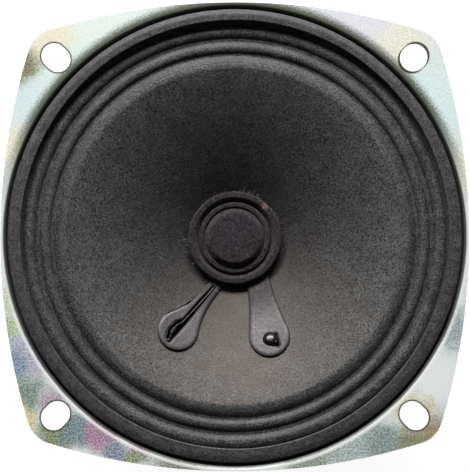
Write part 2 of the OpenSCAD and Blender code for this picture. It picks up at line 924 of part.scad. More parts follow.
// Place on the board's own axes, in the object's axes
function board_place(x, y, z) =
    let (
        h = z + sheet_t + board_film,
        r = board_r + y * cos(wall_slope) + h * sin(wall_slope)
    )
    [x, -r, board_z + y * sin(wall_slope) - h * cos(wall_slope)];

// Route of a tinsel lead: from the front of the cone, back through its hole, to the end of a lug
function tinsel_route(hole, x) =
    let (
        top = on_cone(hole, tinsel_rise),
        end = board_place(x, lug_top, board_t),
        inward = board_place(x, lug_top, board_t - 1.6),
        above = board_place(x * 1.02, lug_top - 2.4, -1.4),
        drop = top - [0, 0, 2.4]
    )
    [
        top,
        top - [0, 0, 1],
        drop,
        drop + 0.12 * (above - drop) - [0, 0, 1.7],
        drop + 0.32 * (above - drop) - [0, 0, 2.9],
        drop + 0.54 * (above - drop) - [0, 0, 2.9],
        drop + 0.78 * (above - drop) - [0, 0, 1.5],
        above,
        (above + inward) / 2 + [0, -0.1, 0.3],
        inward,
        end
    ];

module tinsel_lead(hole, x) {
    color(copper) tube(tinsel_route(hole, x), tinsel_d, [1, 0, 0]);
}

// Fillets of solder where the tinsel leads meet the lugs
module lug_solder() {
    color(tin)
    on_board()
    for (x = [-lug_x, lug_x])
        translate([x, lug_top, board_t])
        rotate_extrude()
        polygon([
            [tinsel_d / 2 + film, 0],
            [tinsel_d / 2 + 0.75, 0],
            [tinsel_d / 2 + 0.35, -0.35],
            [tinsel_d / 2 + film, -0.8]
        ]);
}

basket();
gasket_ring();
surround();
cone();
neck_collar();
dust_cap();
voice_coil_former();
voice_coil_winding();
coil_wire(left_angle, left_hole);  // coil_wire_left
coil_wire(right_angle, right_hole);  // coil_wire_right
glue_drop_left();
glue_drop_right();
cone_solder_beads();
cone_neck_glue();
spider();
spider_neck_glue();
top_plate();
magnet();
back_plate();
pole_piece();
plate_rivets();
terminal_board();
board_rivet();
terminal_lug(-lug_x);  // terminal_lug_left
terminal_lug(lug_x);  // terminal_lug_right
lug_eyelets();
lug_solder();
tinsel_lead(left_hole, -lug_x);  // tinsel_lead_left
tinsel_lead(right_hole, lug_x);  // tinsel_lead_right
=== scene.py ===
from math import acos, atan2, ceil, cos, dist, hypot, pi, radians, sin, sqrt, tan

import bmesh
import bpy
import numpy as np
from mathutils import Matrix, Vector


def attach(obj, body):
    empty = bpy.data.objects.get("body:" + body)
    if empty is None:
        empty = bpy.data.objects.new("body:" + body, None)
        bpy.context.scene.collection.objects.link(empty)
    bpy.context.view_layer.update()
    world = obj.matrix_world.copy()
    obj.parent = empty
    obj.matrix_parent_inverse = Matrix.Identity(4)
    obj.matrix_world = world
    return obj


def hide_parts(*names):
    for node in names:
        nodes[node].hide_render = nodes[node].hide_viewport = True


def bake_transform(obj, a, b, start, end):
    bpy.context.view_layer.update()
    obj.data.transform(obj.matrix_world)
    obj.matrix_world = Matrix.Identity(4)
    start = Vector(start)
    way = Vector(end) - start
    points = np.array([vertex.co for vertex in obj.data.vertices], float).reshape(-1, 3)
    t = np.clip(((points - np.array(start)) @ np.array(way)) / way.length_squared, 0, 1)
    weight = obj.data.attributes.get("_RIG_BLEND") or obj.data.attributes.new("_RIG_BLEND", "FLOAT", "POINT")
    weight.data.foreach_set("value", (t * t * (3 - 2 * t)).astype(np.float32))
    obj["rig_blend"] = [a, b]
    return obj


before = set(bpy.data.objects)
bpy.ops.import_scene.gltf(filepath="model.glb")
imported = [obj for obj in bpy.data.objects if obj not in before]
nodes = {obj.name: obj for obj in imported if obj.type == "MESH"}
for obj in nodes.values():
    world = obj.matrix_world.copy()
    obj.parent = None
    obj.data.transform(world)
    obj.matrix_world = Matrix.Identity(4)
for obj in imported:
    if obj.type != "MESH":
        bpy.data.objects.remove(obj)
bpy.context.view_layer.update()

# Millimetres to metres
MM = 0.001
# Steps round a piece that is turned about the axis
STEPS = 360

# Sizes of the CAD model, in millimetres. The basket: back, ledge in its recess, spider seat and well
FLOOR_Z = -36.5
RECESS_Z = -2.2
LEDGE_R = 45.9
SEAT_Z = -17.0
SEAT_R = 25.2
WELL_R = 21.0
SHEET_T = 0.8
# Film of glue between pieces
FILM = 0.05
# Rolled edge: outer radius of its waves and of its flat, thickness, and width of the scarf at the cone
EDGE_OUT_R = 46.1
FLAT_R = 49.35
EDGE_T = 0.4
SCARF_W = 0.5
# Cone: rim and neck, thickness, bow of its flank and how far the bow runs on past the rim
RIM_Z = -1.2
RIM_R = 36.9
RIM_CURL = 0.5
NECK_R = 7.5
NECK_Z = -13.8
NECK_TUBE = 1.1
CONE_T = 0.5
CONE_BOW = 1.2
CONE_LEAD = 0.08
# Coil former, felt collar and felt cap
FORMER_R = 7.35
FORMER_TOP = -11.5
FORMER_LOW = -20.5
COLLAR_W = 2.7
COLLAR_H = 3.8
CAP_OVERHANG = 0.5
FELT_T = 1.1
# Gasket ring
GASKET_W = 2.8
GASKET_RISE = 0.4
# Spider
SPIDER_D = 49.2
SPIDER_T = 0.3
SPIDER_WAVE = 0.7
SPIDER_NECK_H = 0.8
# Coil wires and tinsel leads, the angles at which the wires leave the former, and the leads' holes
WIRE_D = 0.3
TINSEL_D = 0.9
LEFT_ANGLE = 248
RIGHT_ANGLE = 295
LEFT_HOLE = (-14.4, -22.4)
RIGHT_HOLE = (7.7, -22.4)
# Terminal board and its lugs
BOARD_T = 1.5
LUG_X = 8
LUG_TOP = 6.2

# Sizes corrected against the photo: where the rim turns, and the crown of the cap
CURL_R = RIM_R - 0.22
CROWN_RISE = 1.0
CROWN_SLOPE = 1.1

# The wall of the basket, and the middle of the terminal board on it
WALL_SLOPE = atan2(RECESS_Z - SEAT_Z, LEDGE_R - SEAT_R)
BOARD_R = (LEDGE_R + SEAT_R) / 2 - 1
BOARD_Z = SEAT_Z + (BOARD_R - SEAT_R) * tan(WALL_SLOPE)


# Plane geometry, in millimetres


def fade(x, start, full):
    """0 before start, 1 after full, and even between."""
    return np.clip((x - start) / (full - start), 0, 1)


def angles(n):
    """Even angles all round, in radians."""
    return [2 * pi * k / n for k in range(n)]


def spoke(degrees):
    """Direction away from the axis at an angle."""
    a = radians(degrees)
    return np.array([cos(a), sin(a)])


def unit(v):
    v = np.asarray(v, float)
    return v / np.linalg.norm(v)


def arc(c, r, a, b, n):
    """Points round c from angle a to angle b, in radians."""
    t = a + (b - a) * np.arange(n + 1) / n
    return [(c[0] + r * cos(x), c[1] + r * sin(x)) for x in t]


def bend(a, b, c, r):
    """Arc of radius r that rounds the corner b between a and c."""
    a, b, c = (np.array(p[:2], float) for p in (a, b, c))
    u, v = unit(a - b), unit(c - b)
    half = acos(max(-1, min(1, float(u @ v)))) / 2
    mid = b + unit(u + v) * r / sin(half)
    start = b + u * r / tan(half) - mid
    end = b + v * r / tan(half) - mid
    a0 = atan2(start[1], start[0])
    swing = atan2(start[0] * end[1] - start[1] * end[0], float(start @ end))
    return arc(mid, r, a0, a0 + swing, max(4, ceil(abs(swing) / radians(7))))


def rounded_path(points):
    """Path with rounded corners, from points that each give r, z and a bend radius."""
    out = []
    for i, p in enumerate(points):
        if p[2] == 0:
            out.append((p[0], p[1]))
        else:
            out += bend(points[i - 1], p, points[i + 1], p[2])
    return out


def moved(path, d):
    """Path moved sideways by d, to the left of its direction."""
    p = np.array(path, float)
    way = np.diff(p, axis=0)
    way /= np.linalg.norm(way, axis=1)[:, None]
    side = np.stack([-way[:, 1], way[:, 0]], 1)
    before = np.concatenate([side[:1], side])
    after = np.concatenate([side, side[-1:]])
    lean = 1 + (before * after).sum(1)
    return [tuple(q) for q in p + d * (before + after) / lean[:, None]]


def ribbon(path, t):
    return moved(path, t / 2) + moved(path, -t / 2)[::-1]


def wave(turns, n):
    """Smooth wave through turning points, each a radius and a height."""
    out = []
    for (r0, z0), (r1, z1) in zip(turns, turns[1:]):
        for k in range(n):
            share = (1 - cos(pi * k / n)) / 2
            out.append((r0 + (r1 - r0) * k / n, z0 + (z1 - z0) * share))
    return out


def filled(path, longest):
    """The same path, with extra points on its long stretches."""
    out = []
    for a, b in zip(path, path[1:]):
        n = max(1, ceil(dist(a, b) / longest))
        out += [tuple(np.array(a) + (np.array(b) - np.array(a)) * k / n) for k in range(n)]
    return out + [path[-1]]


def cone_z(r):
    """Height of the bowed flank. CONE_LEAD keeps it from going level at the rim."""
    start, full = CONE_LEAD**CONE_BOW, (1 + CONE_LEAD) ** CONE_BOW
    share = max(0.0, (CURL_R - r) / (CURL_R - NECK_R)) + CONE_LEAD
    return RIM_Z - (RIM_Z - NECK_Z) * (share**CONE_BOW - start) / (full - start)


def on_cone(p, lift):
    """The place over the cone's front at x and y, lifted along the axis."""
    return np.array([p[0], p[1], cone_z(hypot(p[0], p[1])) + lift])


# Meshes


def new_object(name, data):
    obj = bpy.data.objects.new(name, data)
    bpy.context.scene.collection.objects.link(obj)
    return obj


def new_mesh(name, verts, faces, smooth_deg=40, near=1e-7, painted_foot_shade=None):
    """Object from points in millimetres, shaded smooth up to an angle. painted_foot_shade gives the painted
    shade at each point.
    """
    mesh = bpy.data.meshes.new(name)
    mesh.from_pydata([tuple(float(c) * MM for c in v) for v in verts], [], faces)
    if painted_foot_shade:
        values = mesh.attributes.new("painted_foot_shade", "FLOAT", "POINT")
        values.data.foreach_set("value", np.array(painted_foot_shade, np.float32))
    work = bmesh.new()
    work.from_mesh(mesh)
    bmesh.ops.remove_doubles(work, verts=work.verts, dist=near)
    bmesh.ops.recalc_face_normals(work, faces=work.faces)
    work.to_mesh(mesh)
    work.free()
    mesh.shade_smooth()
    mesh.set_sharp_from_angle(angle=radians(smooth_deg))
    return new_object(name, mesh)


def revolve(name, outline, closed=True, wobble=None, steps=STEPS, smooth_deg=40):
    """Piece turned about the axis. wobble moves r and z by angle, so that no ring is perfect."""
    p = np.array(outline, float)
    n = len(p)
    verts = []
    for a in angles(steps):
        r, z = p[:, 0], p[:, 1]
        if wobble:
            r, z = wobble(r, z, a)
        verts.append(np.stack([r * cos(a), r * sin(a), z], 1))
    faces = []
    for i in range(steps):
        here, there = i * n, (i + 1) % steps * n
        for k in range(n if closed else n - 1):
            m = (k + 1) % n
            faces.append((here + k, there + k, there + m, here + m))
    return new_mesh(name, np.concatenate(verts), faces, smooth_deg)


def tube_faces(base, rows, sides):
    """Faces of a tube whose points start at base and go round it row by row, with its two ends."""
    faces = []
    for i in range(rows - 1):
        row = base + i * sides
        for k in range(sides):
            m = (k + 1) % sides
            faces.append((row + k, row + m, row + sides + m, row + sides + k))
    last = base + (rows - 1) * sides
    return faces + [tuple(range(base, base + sides)), tuple(reversed(range(last, last + sides)))]


def frames_along(route):
    """Two directions across a route at each of its points, carried along it without a twist."""
    n = len(route)
    across = np.array([1.0, 0.0, 0.0])
    out = []
    for i in range(n):
        t = unit(route[min(i + 1, n - 1)] - route[max(i - 1, 0)])
        u = across - (across @ t) * t
        if np.linalg.norm(u) < 0.2:
            u = np.array([0.0, 1.0, 0.0]) - t[1] * t
        across = unit(u)
        out.append((across, np.cross(t, across)))
    return out


def circle(q, u, v, r, sides):
    """Points round q in the plane of u and v."""
    return [q + r * (cos(a) * u + sin(a) * v) for a in angles(sides)]


def tube(name, route, d, sides=12):
    """Round tube along a route, with flat ends."""
    p = np.array(route, float)
    verts = []
    for q, (u, v) in zip(p, frames_along(p)):
        verts += circle(q, u, v, d / 2, sides)
    return new_mesh(name, verts, tube_faces(0, len(p), sides))


def smooth_route(points, n):
    """Catmull-Rom curve through the points, with n steps on each stretch."""
    p = [np.array(q, float) for q in points]
    p = [2 * p[0] - p[1]] + p + [2 * p[-1] - p[-2]]
    out = []
    for a, b, c, d in zip(p, p[1:], p[2:], p[3:]):
        square = 2 * a - 5 * b + 4 * c - d
        cube = 3 * b - a - 3 * c + d
        for s in np.arange(n) / n:
            out.append(0.5 * (2 * b + (c - a) * s + square * s * s + cube * s**3))
    return out + [p[-2]]


def cut(obj, cutters):
    """Takes the cutters away from a piece, and removes them."""
    for c in cutters:
        m = obj.modifiers.new("cut", "BOOLEAN")
        m.operation = "DIFFERENCE"
        m.solver = "EXACT"
        m.object = c
    shown = obj.evaluated_get(bpy.context.evaluated_depsgraph_get())
    mesh = bpy.data.meshes.new_from_object(shown)
    obj.modifiers.clear()
    obj.data = mesh
    for c in cutters:
        bpy.data.objects.remove(c)
    mesh.shade_smooth()
    mesh.set_sharp_from_angle(angle=radians(40))
    return obj


def post(p, r, low, high):
    """Upright round cutter."""
    return tube("cutter", [(p[0], p[1], low), (p[0], p[1], high)], 2 * r, 24)


def ripple(amount, lobes, seed):
    """Slow unevenness round a ring, in millimetres, as a sum of a few lobes."""
    rng = np.random.default_rng(seed)
    phase = rng.uniform(0, 2 * pi, len(lobes))
    size = rng.uniform(0.5, 1, len(lobes))

    def at(a):
        return amount * sum(s * sin(n * a + f) for n, s, f in zip(lobes, size, phase)) / len(lobes)

    return at


# Materials


class Look:
    """One node material on a shader. Its place output is in millimetres."""

    def __init__(self, name, shader="BsdfPrincipled"):
        self.material = bpy.data.materials.new(name)
        self.material.use_nodes = True
        self.tree = self.material.node_tree
        self.tree.nodes.clear()
        self.shader = self.node(shader)
        self.surface = self.node("OutputMaterial", {"Surface": self.shader.outputs[0]}).inputs["Surface"]
        self.place = self.vector("SCALE", self.node("TexCoord").outputs["Object"], scale=1 / MM)

    def node(self, kind, inputs=None, **settings):
        """New node of a kind, with its settings, and with its inputs by name or number."""
        n = self.tree.nodes.new("ShaderNode" + kind)
        for name, value in settings.items():
            setattr(n, name, value)
        for name, value in (inputs or {}).items():
            if value is not None:
                self.put(value, n.inputs[name])
        return n

    def put(self, value, socket):
        """Links an output to a socket, or sets the socket to a value or colour."""
        if isinstance(value, bpy.types.NodeSocket):
            self.tree.links.new(value, socket)
        elif socket.type == "RGBA":
            socket.default_value = (*value[:3], 1)
        else:
            socket.default_value = value

    def set(self, **values):
        for name, value in values.items():
            self.put(value, self.shader.inputs[name.replace("_", " ")])

    def done(self, colour, rough, relief, **more):
        """The material, with its shader set."""
        self.set(Base_Color=colour, Roughness=rough, Normal=relief, **more)
        return self.material

    def vector(self, operation, a, b=None, scale=None):
        n = self.node("VectorMath", {0: a, 1: b, "Scale": scale}, operation=operation)
        return n.outputs["Value" if operation in ("LENGTH", "DOT_PRODUCT") else "Vector"]

    def math(self, operation, a, b=None, clamp=False):
        return self.node("Math", {0: a, 1: b}, operation=operation, use_clamp=clamp).outputs[0]

    def times(self, a, b):
        return self.math("MULTIPLY", a, b)

    def plus(self, a, b):
        return self.math("ADD", a, b)

    def minus(self, a, b):
        return self.math("SUBTRACT", a, b)

    def split(self, v):
        return self.node("SeparateXYZ", {0: v}).outputs

    def join(self, x, y, z):
        return self.node("CombineXYZ", {0: x, 1: y, 2: z}).outputs[0]

    def flat_length(self, x, y):
        return self.vector("LENGTH", self.join(x, y, 0.0))

    def radius(self):
        x, y, _ = self.split(self.place)
        return self.flat_length(x, y)

    def away(self, point, place=None):
        """Distance from a point x, y, seen from the front."""
        x, y, _ = self.split(self.vector("SUBTRACT", place or self.place, (*point, 0)))
        return self.flat_length(x, y)

    def noise(self, per_mm, detail=2.0, rough=0.5, at=None, colour=False):
        inputs = {"Vector": at or self.place, "Scale": per_mm, "Detail": detail, "Roughness": rough}
        return self.node("TexNoise", inputs).outputs["Color" if colour else "Fac"]

    def warped(self, per_mm, amount):
        """The place, pushed about by a slow noise, so that fibres lie matted."""
        push = self.vector("SCALE", self.noise(per_mm, 2, colour=True), scale=amount)
        return self.vector("ADD", self.place, push)

    def range(self, value, low, high, to_low=0.0, to_high=1.0, kind="SMOOTHSTEP"):
        inputs = {"Value": value, "From Min": low, "From Max": high, "To Min": to_low, "To Max": to_high}
        return self.node("MapRange", inputs, interpolation_type=kind).outputs["Result"]

    def ramp(self, value, low, high, to_low=0.0, to_high=1.0):
        return self.range(value, low, high, to_low, to_high, "LINEAR")

    def mix(self, share, a, b, blend="MIX"):
        """Mix of two colours, which are the node's inputs 6 and 7."""
        inputs = {"Factor": share, 6: a, 7: b}
        return self.node("Mix", inputs, data_type="RGBA", blend_type=blend).outputs[2]

    def bump(self, height, strength, depth_mm, below=None):
        inputs = {"Strength": strength, "Distance": depth_mm * MM, "Height": height, "Normal": below}
        return self.node("Bump", inputs).outputs["Normal"]

    def grained(self, colour, grain, contrast, width=0.12):
        """The colour, darker and lighter by a contrast where the grain is under and over its middle."""
        share = self.ramp(grain, 0.5 - width, 0.5 + width)
        grey = self.mix(share, (1 - contrast,) * 3, (1 + contrast,) * 3)
        return self.mix(1.0, colour, grey, "MULTIPLY")

    def stroke(self, a, b, wide_a, wide_b):
        """1 inside a stroke from a to b, seen from the front, with its half widths at a and at b."""
        x, y, _ = self.split(self.vector("SUBTRACT", self.place, (*a, 0)))
        run, climb = b[0] - a[0], b[1] - a[1]
        dot = self.plus(self.times(x, run), self.times(y, climb))
        share = self.ramp(dot, 0.0, run * run + climb * climb)
        x = self.minus(x, self.times(share, run))
        y = self.minus(y, self.times(share, climb))
        gap = self.minus(self.flat_length(x, y), self.ramp(share, 0.0, 1.0, wide_a, wide_b))
        return self.range(gap, 0.07, -0.05)

    def worn_edges(self, colour, width_mm, share, pale):
        """The colour, paler along sharp edges, where a rounded normal leaves the true one."""
        soft = self.node("Bevel", {"Radius": width_mm * MM}, samples=4).outputs[0]
        true = self.node("NewGeometry").outputs["Normal"]
        edge = self.range(self.vector("DOT_PRODUCT", soft, true), 0.99, 0.85)
        return self.mix(self.times(edge, share), colour, pale)


# The film on the flange: place, radius, colour and speckle of each tinted patch, from the top left round.
# The tints are the film's own; the pale patches at the top and the darker ones at the bottom also paint the
# brighter and darker reflection there.
PATCHES = [
    ((-30, 43), 18, (0.90, 0.98, 0.92), 0.1),
    ((-35, 34), 9, (0.80, 0.94, 0.90), 0.1),
    ((-41, 44), 7, (0.97, 0.90, 0.68), 0.2),
    ((-46, 37), 5, (0.26, 0.24, 0.12), 0.8),
    ((-45, 29), 6, (0.76, 0.92, 0.92), 0.1),
    ((-49, 20), 6, (0.95, 0.92, 0.74), 0.2),
    ((26, 44), 11, (0.86, 0.85, 0.92), 0.1),
    ((37, 41), 7, (0.95, 0.92, 0.74), 0.2),
    ((43, 29), 11, (0.78, 0.95, 0.93), 0.15),
    ((49, 15), 6, (0.92, 0.91, 0.74), 0.2),
    ((47, -20), 6, (0.42, 0.48, 0.50), 0.6),
    ((42, -31), 9, (0.95, 0.99, 0.98), 0.05),
    ((39, -38), 5, (0.74, 0.66, 0.40), 0.4),
    ((44, -43), 6, (0.40, 0.32, 0.17), 0.6),
    ((38, -45), 5, (0.30, 0.30, 0.17), 0.7),
    ((31, -45), 6, (0.30, 0.38, 0.37), 0.8),
    ((24, -46), 6, (0.50, 0.58, 0.58), 0.7),
    ((16, -49), 7, (0.34, 0.40, 0.34), 0.9),
    ((-50, -14), 5, (0.70, 0.76, 0.58), 0.5),
    ((-49.5, -21), 4, (0.52, 0.64, 0.34), 0.8),
    ((-46, -24), 3.5, (0.55, 0.55, 0.68), 0.6),
    ((-47.5, -28), 4.5, (0.26, 0.36, 0.50), 0.9),
    ((-42, -28), 4, (0.60, 0.54, 0.70), 0.6),
    ((-45, -34), 4.5, (0.26, 0.36, 0.30), 0.8),
    ((-47, -40), 5, (0.82, 0.70, 0.38), 0.5),
    ((-39, -36.5), 4, (0.52, 0.42, 0.50), 0.7),
    ((-39, -43), 5, (0.30, 0.34, 0.17), 0.8),
    ((-34.5, -42), 4.5, (0.24, 0.34, 0.38), 0.9),
    ((-29, -42.5), 5, (0.50, 0.28, 0.42), 0.8),
    ((-26, -47), 3.5, (0.30, 0.36, 0.46), 0.9),
    ((-20.5, -46.5), 3.5, (0.56, 0.36, 0.46), 0.8),
    ((-22, -49), 3.5, (0.34, 0.42, 0.24), 0.9),
    ((-12, -50), 7, (0.30, 0.31, 0.27), 0.9),
]
# Middle of a mounting slot along its diagonal, half its straight length, and half its width
SLOT_AT = 55.05
SLOT_HALF = 0.6
SLOT_R = 2.75
# Where the flange bends into the recess: the line on the bend of its painted shade and painted highlight,
# and where the painted shade in the gap at the wall starts
LIP_R = 50.85
WALL_R = 50.2


def slot_distance(look):
    """Distance to the edge of the nearest mounting slot, in millimetres."""
    x, y, _ = look.split(look.place)
    x, y = look.math("ABSOLUTE", x), look.math("ABSOLUTE", y)
    along = look.times(look.plus(x, y), sqrt(0.5))
    across = look.times(look.minus(y, x), sqrt(0.5))
    along = look.math("ABSOLUTE", look.minus(along, SLOT_AT))
    along = look.math("MAXIMUM", look.minus(along, SLOT_HALF), 0.0)
    return look.minus(look.flat_length(along, across), SLOT_R)


def film(look, speckle):
    """Colour of the passivated film: drifting tints, each with its share of speckle, and painted reflection
    in the patches: paler at the top, darker at the bottom.
    """
    drift = look.vector("SCALE", look.noise(0.22, 3, 0.6, colour=True), scale=7.0)
    spot = look.vector("ADD", look.place, look.vector("SUBTRACT", drift, (3.5, 3.5, 3.5)))
    colour = look.mix(look.noise(0.12, 3), (0.90, 0.93, 0.88), (0.76, 0.84, 0.86))
    dots = (0.15, 0.15, 0.15)
    for place, r, tint, speckled in PATCHES:
        share = look.range(look.away(place, spot), 0.35 * r, 1.15 * r, 0.92, 0.0)
        colour = look.mix(share, colour, tint)
        dots = look.mix(share, dots, (speckled,) * 3)
    tinge = look.mix(0.6, (0.5, 0.5, 0.5), look.noise(2.2, 2, 0.8, colour=True))
    colour = look.mix(look.times(dots, 0.9), colour, tinge, "OVERLAY")
    shade = look.mix(look.ramp(speckle, 0.41, 0.59), (0.26, 0.26, 0.22), (1.6, 1.6, 1.6))
    return look.mix(dots, colour, look.mix(1.0, colour, shade, "MULTIPLY"))


def flange_marks(look, colour, speckle):
    """Painted shade on the far lip, a painted highlight on the near lip, painted shade in the gap at the
    wall of the recess, and painted shade round the slot rims.
    """
    _, y, z = look.split(look.place)
    radius = look.radius()
    face = look.range(z, -0.8, -0.6)
    ragged = look.plus(radius, look.ramp(speckle, 0.3, 0.7, -0.5, 0.5))
    # Painted shade on the far lip, where its bend faces away from the lamp.
    painted_shade_far_lip = look.times(look.range(y, 2.0, 30.0, 0.0, 0.92), face)
    painted_shade_far_lip = look.times(look.range(ragged, LIP_R + 2.05, LIP_R - 0.05), painted_shade_far_lip)
    colour = look.mix(painted_shade_far_lip, colour, (0.06, 0.07, 0.035))
    # Painted highlight along the near lip, where its bend faces the lamp.
    off_lip = look.math("ABSOLUTE", look.minus(radius, LIP_R))
    near = look.times(look.range(off_lip, 0.48, 0.14, 0.0, 0.85), look.range(y, 0.0, -28.0))
    colour = look.mix(look.times(near, face), colour, (0.97, 0.97, 0.94))
    # Painted shade in the gap between the gasket and the wall of the recess.
    recess = look.times(look.range(z, -2.7, -2.4), look.range(radius, WALL_R + 0.2, WALL_R))
    painted_gap_shade = look.range(radius, WALL_R + 0.45, WALL_R, 0.0, 0.92)
    painted_gap_shade = look.times(painted_gap_shade, look.math("MAXIMUM", face, recess))
    colour = look.mix(painted_gap_shade, colour, (0.025, 0.025, 0.02))
    # Painted shade round the mounting slots, where their walls and the shade in them show.
    return look.mix(look.range(slot_distance(look), 0.12, 0.5, 0.95, 0.0), colour, (0.03, 0.03, 0.02))


def zinc():
    """Zinc plate under a passivated film, yellower on the bowl behind."""
    look = Look("zinc_film")
    speckle = look.noise(2.5, 3, 0.8)
    colour = film(look, speckle)
    bowl = look.range(look.radius(), LEDGE_R + 3.1, LEDGE_R + 0.1)
    bowl = look.times(bowl, look.range(look.noise(0.15, 3), 0.4, 0.7))
    colour = look.mix(look.times(bowl, 0.7), colour, (0.86, 0.78, 0.52))
    colour = flange_marks(look, colour, speckle)
    colour = look.worn_edges(colour, 0.12, 0.25, (0.75, 0.75, 0.72))
    rough = look.ramp(look.noise(1.2, 3), 0.3, 0.7, 0.30, 0.46)
    relief = look.bump(look.noise(0.5, 2), 0.2, 0.08, look.bump(speckle, 0.6, 0.03))
    return look.done(colour, rough, relief, Metallic=0.2, Specular_IOR_Level=0.5)


def bright_steel():
    """Turned and plated soft iron: fine rings, a few stains, worn edges."""
    look = Look("turned_steel")
    rings = look.noise(9.0, 2, 0.6, at=look.join(look.radius(), 0.0, 0.0))
    stain = look.noise(0.25, 4, 0.6)
    colour = look.mix(look.range(stain, 0.4, 0.75), (0.42, 0.42, 0.41), (0.36, 0.34, 0.28))
    colour = look.mix(look.range(look.noise(1.6, 3, 0.7), 0.62, 0.75), colour, (0.22, 0.20, 0.17))
    colour = look.worn_edges(colour, 0.2, 0.6, (0.60, 0.60, 0.58))
    rough = look.ramp(look.plus(rings, stain), 0.6, 1.4, 0.26, 0.48)
    return look.done(colour, rough, look.bump(rings, 0.35, 0.03), Metallic=0.9)


def ferrite():
    """Sintered ferrite: charcoal ceramic with pits, ground faces and pale chipped edges."""
    look = Look("ferrite_ceramic")
    pits = look.range(look.noise(1.8, 4, 0.7), 0.30, 0.42)
    dust = look.noise(0.6, 4, 0.65)
    colour = look.mix(look.range(dust, 0.35, 0.75), (0.035, 0.035, 0.038), (0.075, 0.072, 0.07))
    colour = look.mix(pits, (0.012, 0.012, 0.013), colour)
    colour = look.worn_edges(colour, 0.25, 0.5, (0.16, 0.16, 0.16))
    rough = look.ramp(dust, 0.3, 0.7, 0.38, 0.62)
    relief = look.bump(look.plus(pits, look.noise(5.0, 2)), 0.4, 0.05)
    return look.done(colour, rough, relief, Specular_IOR_Level=0.6)


def cone_paper():
    """Felted black paper: matted fibres, cloudy dye, smoother towards the rim, and darker towards the neck
    as painted shade.
    """
    look = Look("cone_paper")
    warp = look.warped(0.9, 1.2)
    fibre = look.noise(2.8, 2, 0.8, at=warp)
    cells = look.node("TexVoronoi", {"Vector": warp, "Scale": 1.1}).outputs["Distance"]
    hair = look.range(cells, 0.03, 0.12, 1.0, 0.0)
    cloud = look.noise(0.30, 4, 0.65)
    # Painted shade: darker towards the neck, where the bowl lies deeper. out also makes the paper smoother
    # towards the rim.
    out = look.ramp(look.radius(), 11.0, 35.0)
    colour = look.mix(out, (0.017, 0.019, 0.021), (0.056, 0.060, 0.063))
    colour = look.grained(look.grained(colour, cloud, 0.18), fibre, 0.75, 0.08)
    colour = look.mix(look.times(hair, 0.3), colour, (0.13, 0.125, 0.12))
    rough = look.plus(look.ramp(fibre, 0.35, 0.65, 0.55, 0.68), look.times(out, -0.12))
    relief = look.bump(fibre, 0.8, 0.11, look.bump(cloud, 0.3, 0.15))
    return look.done(colour, rough, relief, Specular_IOR_Level=0.6, Specular_Tint=(1.0, 0.82, 0.70, 1.0))


def edge_paper():
    """Thin black paper of the rolled edge: matt, soft, with a coarse grain, and darker down in its valleys
    as painted shade.
    """
    look = Look("edge_paper")
    fibre = look.noise(2.8, 2, 0.8)
    cloud = look.noise(0.30, 4, 0.65)
    # Painted shade: the paper is darker the lower it lies, down in the valleys of the edge.
    crest = look.ramp(look.split(look.place)["Z"], RIM_Z - 1.0, RIM_Z)
    colour = look.mix(crest, (0.026, 0.026, 0.027), (0.048, 0.048, 0.048))
    colour = look.grained(look.grained(colour, cloud, 0.28), fibre, 0.9, 0.07)
    rough = look.ramp(fibre, 0.35, 0.65, 0.50, 0.64)
    return look.done(colour, rough, look.bump(fibre, 1.0, 0.13), Specular_IOR_Level=0.5)


def gasket_fibre():
    """Pressed fibre board, painted black and rubbed grey."""
    look = Look("gasket_fibre")
    cloud = look.noise(0.45, 4, 0.7)
    grain = look.noise(2.6, 3, 0.8)
    colour = look.mix(cloud, (0.034, 0.032, 0.033), (0.054, 0.048, 0.049))
    colour = look.grained(look.grained(colour, cloud, 0.25), grain, 0.7, 0.08)
    rough = look.ramp(grain, 0.35, 0.65, 0.48, 0.62)
    relief = look.bump(grain, 0.8, 0.09, look.bump(cloud, 0.5, 0.15))
    return look.done(colour, rough, relief, Specular_IOR_Level=0.5)


def felt(name, dark, light, worn=None):
    """Pressed wool felt: matted hairs, pale lint and small pits. At worn it is rubbed to the pale."""
    look = Look(name)
    warp = look.warped(1.1, 1.6)
    mat = look.noise(1.6, 4, 0.85, at=warp)
    lint = look.range(look.noise(2.4, 2, 0.6, at=warp), 0.62, 0.70)
    colour = look.mix(look.ramp(mat, 0.38, 0.62), dark, light)
    colour = look.mix(look.times(lint, 0.6), colour, (0.17, 0.13, 0.15))
    if worn:
        patch = look.range(look.plus(look.away(worn), look.noise(1.5, 2)), 0.9, 1.5, 0.8, 0.0)
        colour = look.mix(patch, colour, (0.20, 0.11, 0.10))
    look.set(Sheen_Weight=0.12, Sheen_Roughness=0.5, Sheen_Tint=(0.8, 0.7, 0.72, 1.0))
    return look.done(colour, 0.92, look.bump(mat, 1.0, 0.26), Specular_IOR_Level=0.2)


# Width of two threads of the spider's cloth
THREAD = 0.55


def spider_cloth():
    """Cotton stiffened with amber resin: an open weave on a grid, darker in the threads' gaps."""
    look = Look("spider_cloth")
    x, y, _ = look.split(look.place)
    warp, weft = (look.math("SINE", look.times(v, 2 * pi / THREAD)) for v in (x, y))
    thread = look.times(look.plus(look.math("ABSOLUTE", warp), look.math("ABSOLUTE", weft)), 0.5)
    colour = look.mix(look.noise(0.2, 3, 0.6), (0.46, 0.25, 0.07), (0.60, 0.38, 0.15))
    colour = look.mix(look.range(thread, 0.25, 0.7), (0.20, 0.09, 0.02), colour)
    rough = look.ramp(thread, 0.2, 0.8, 0.55, 0.75)
    return look.done(colour, rough, look.bump(thread, 0.6, 0.12), Specular_IOR_Level=0.4)


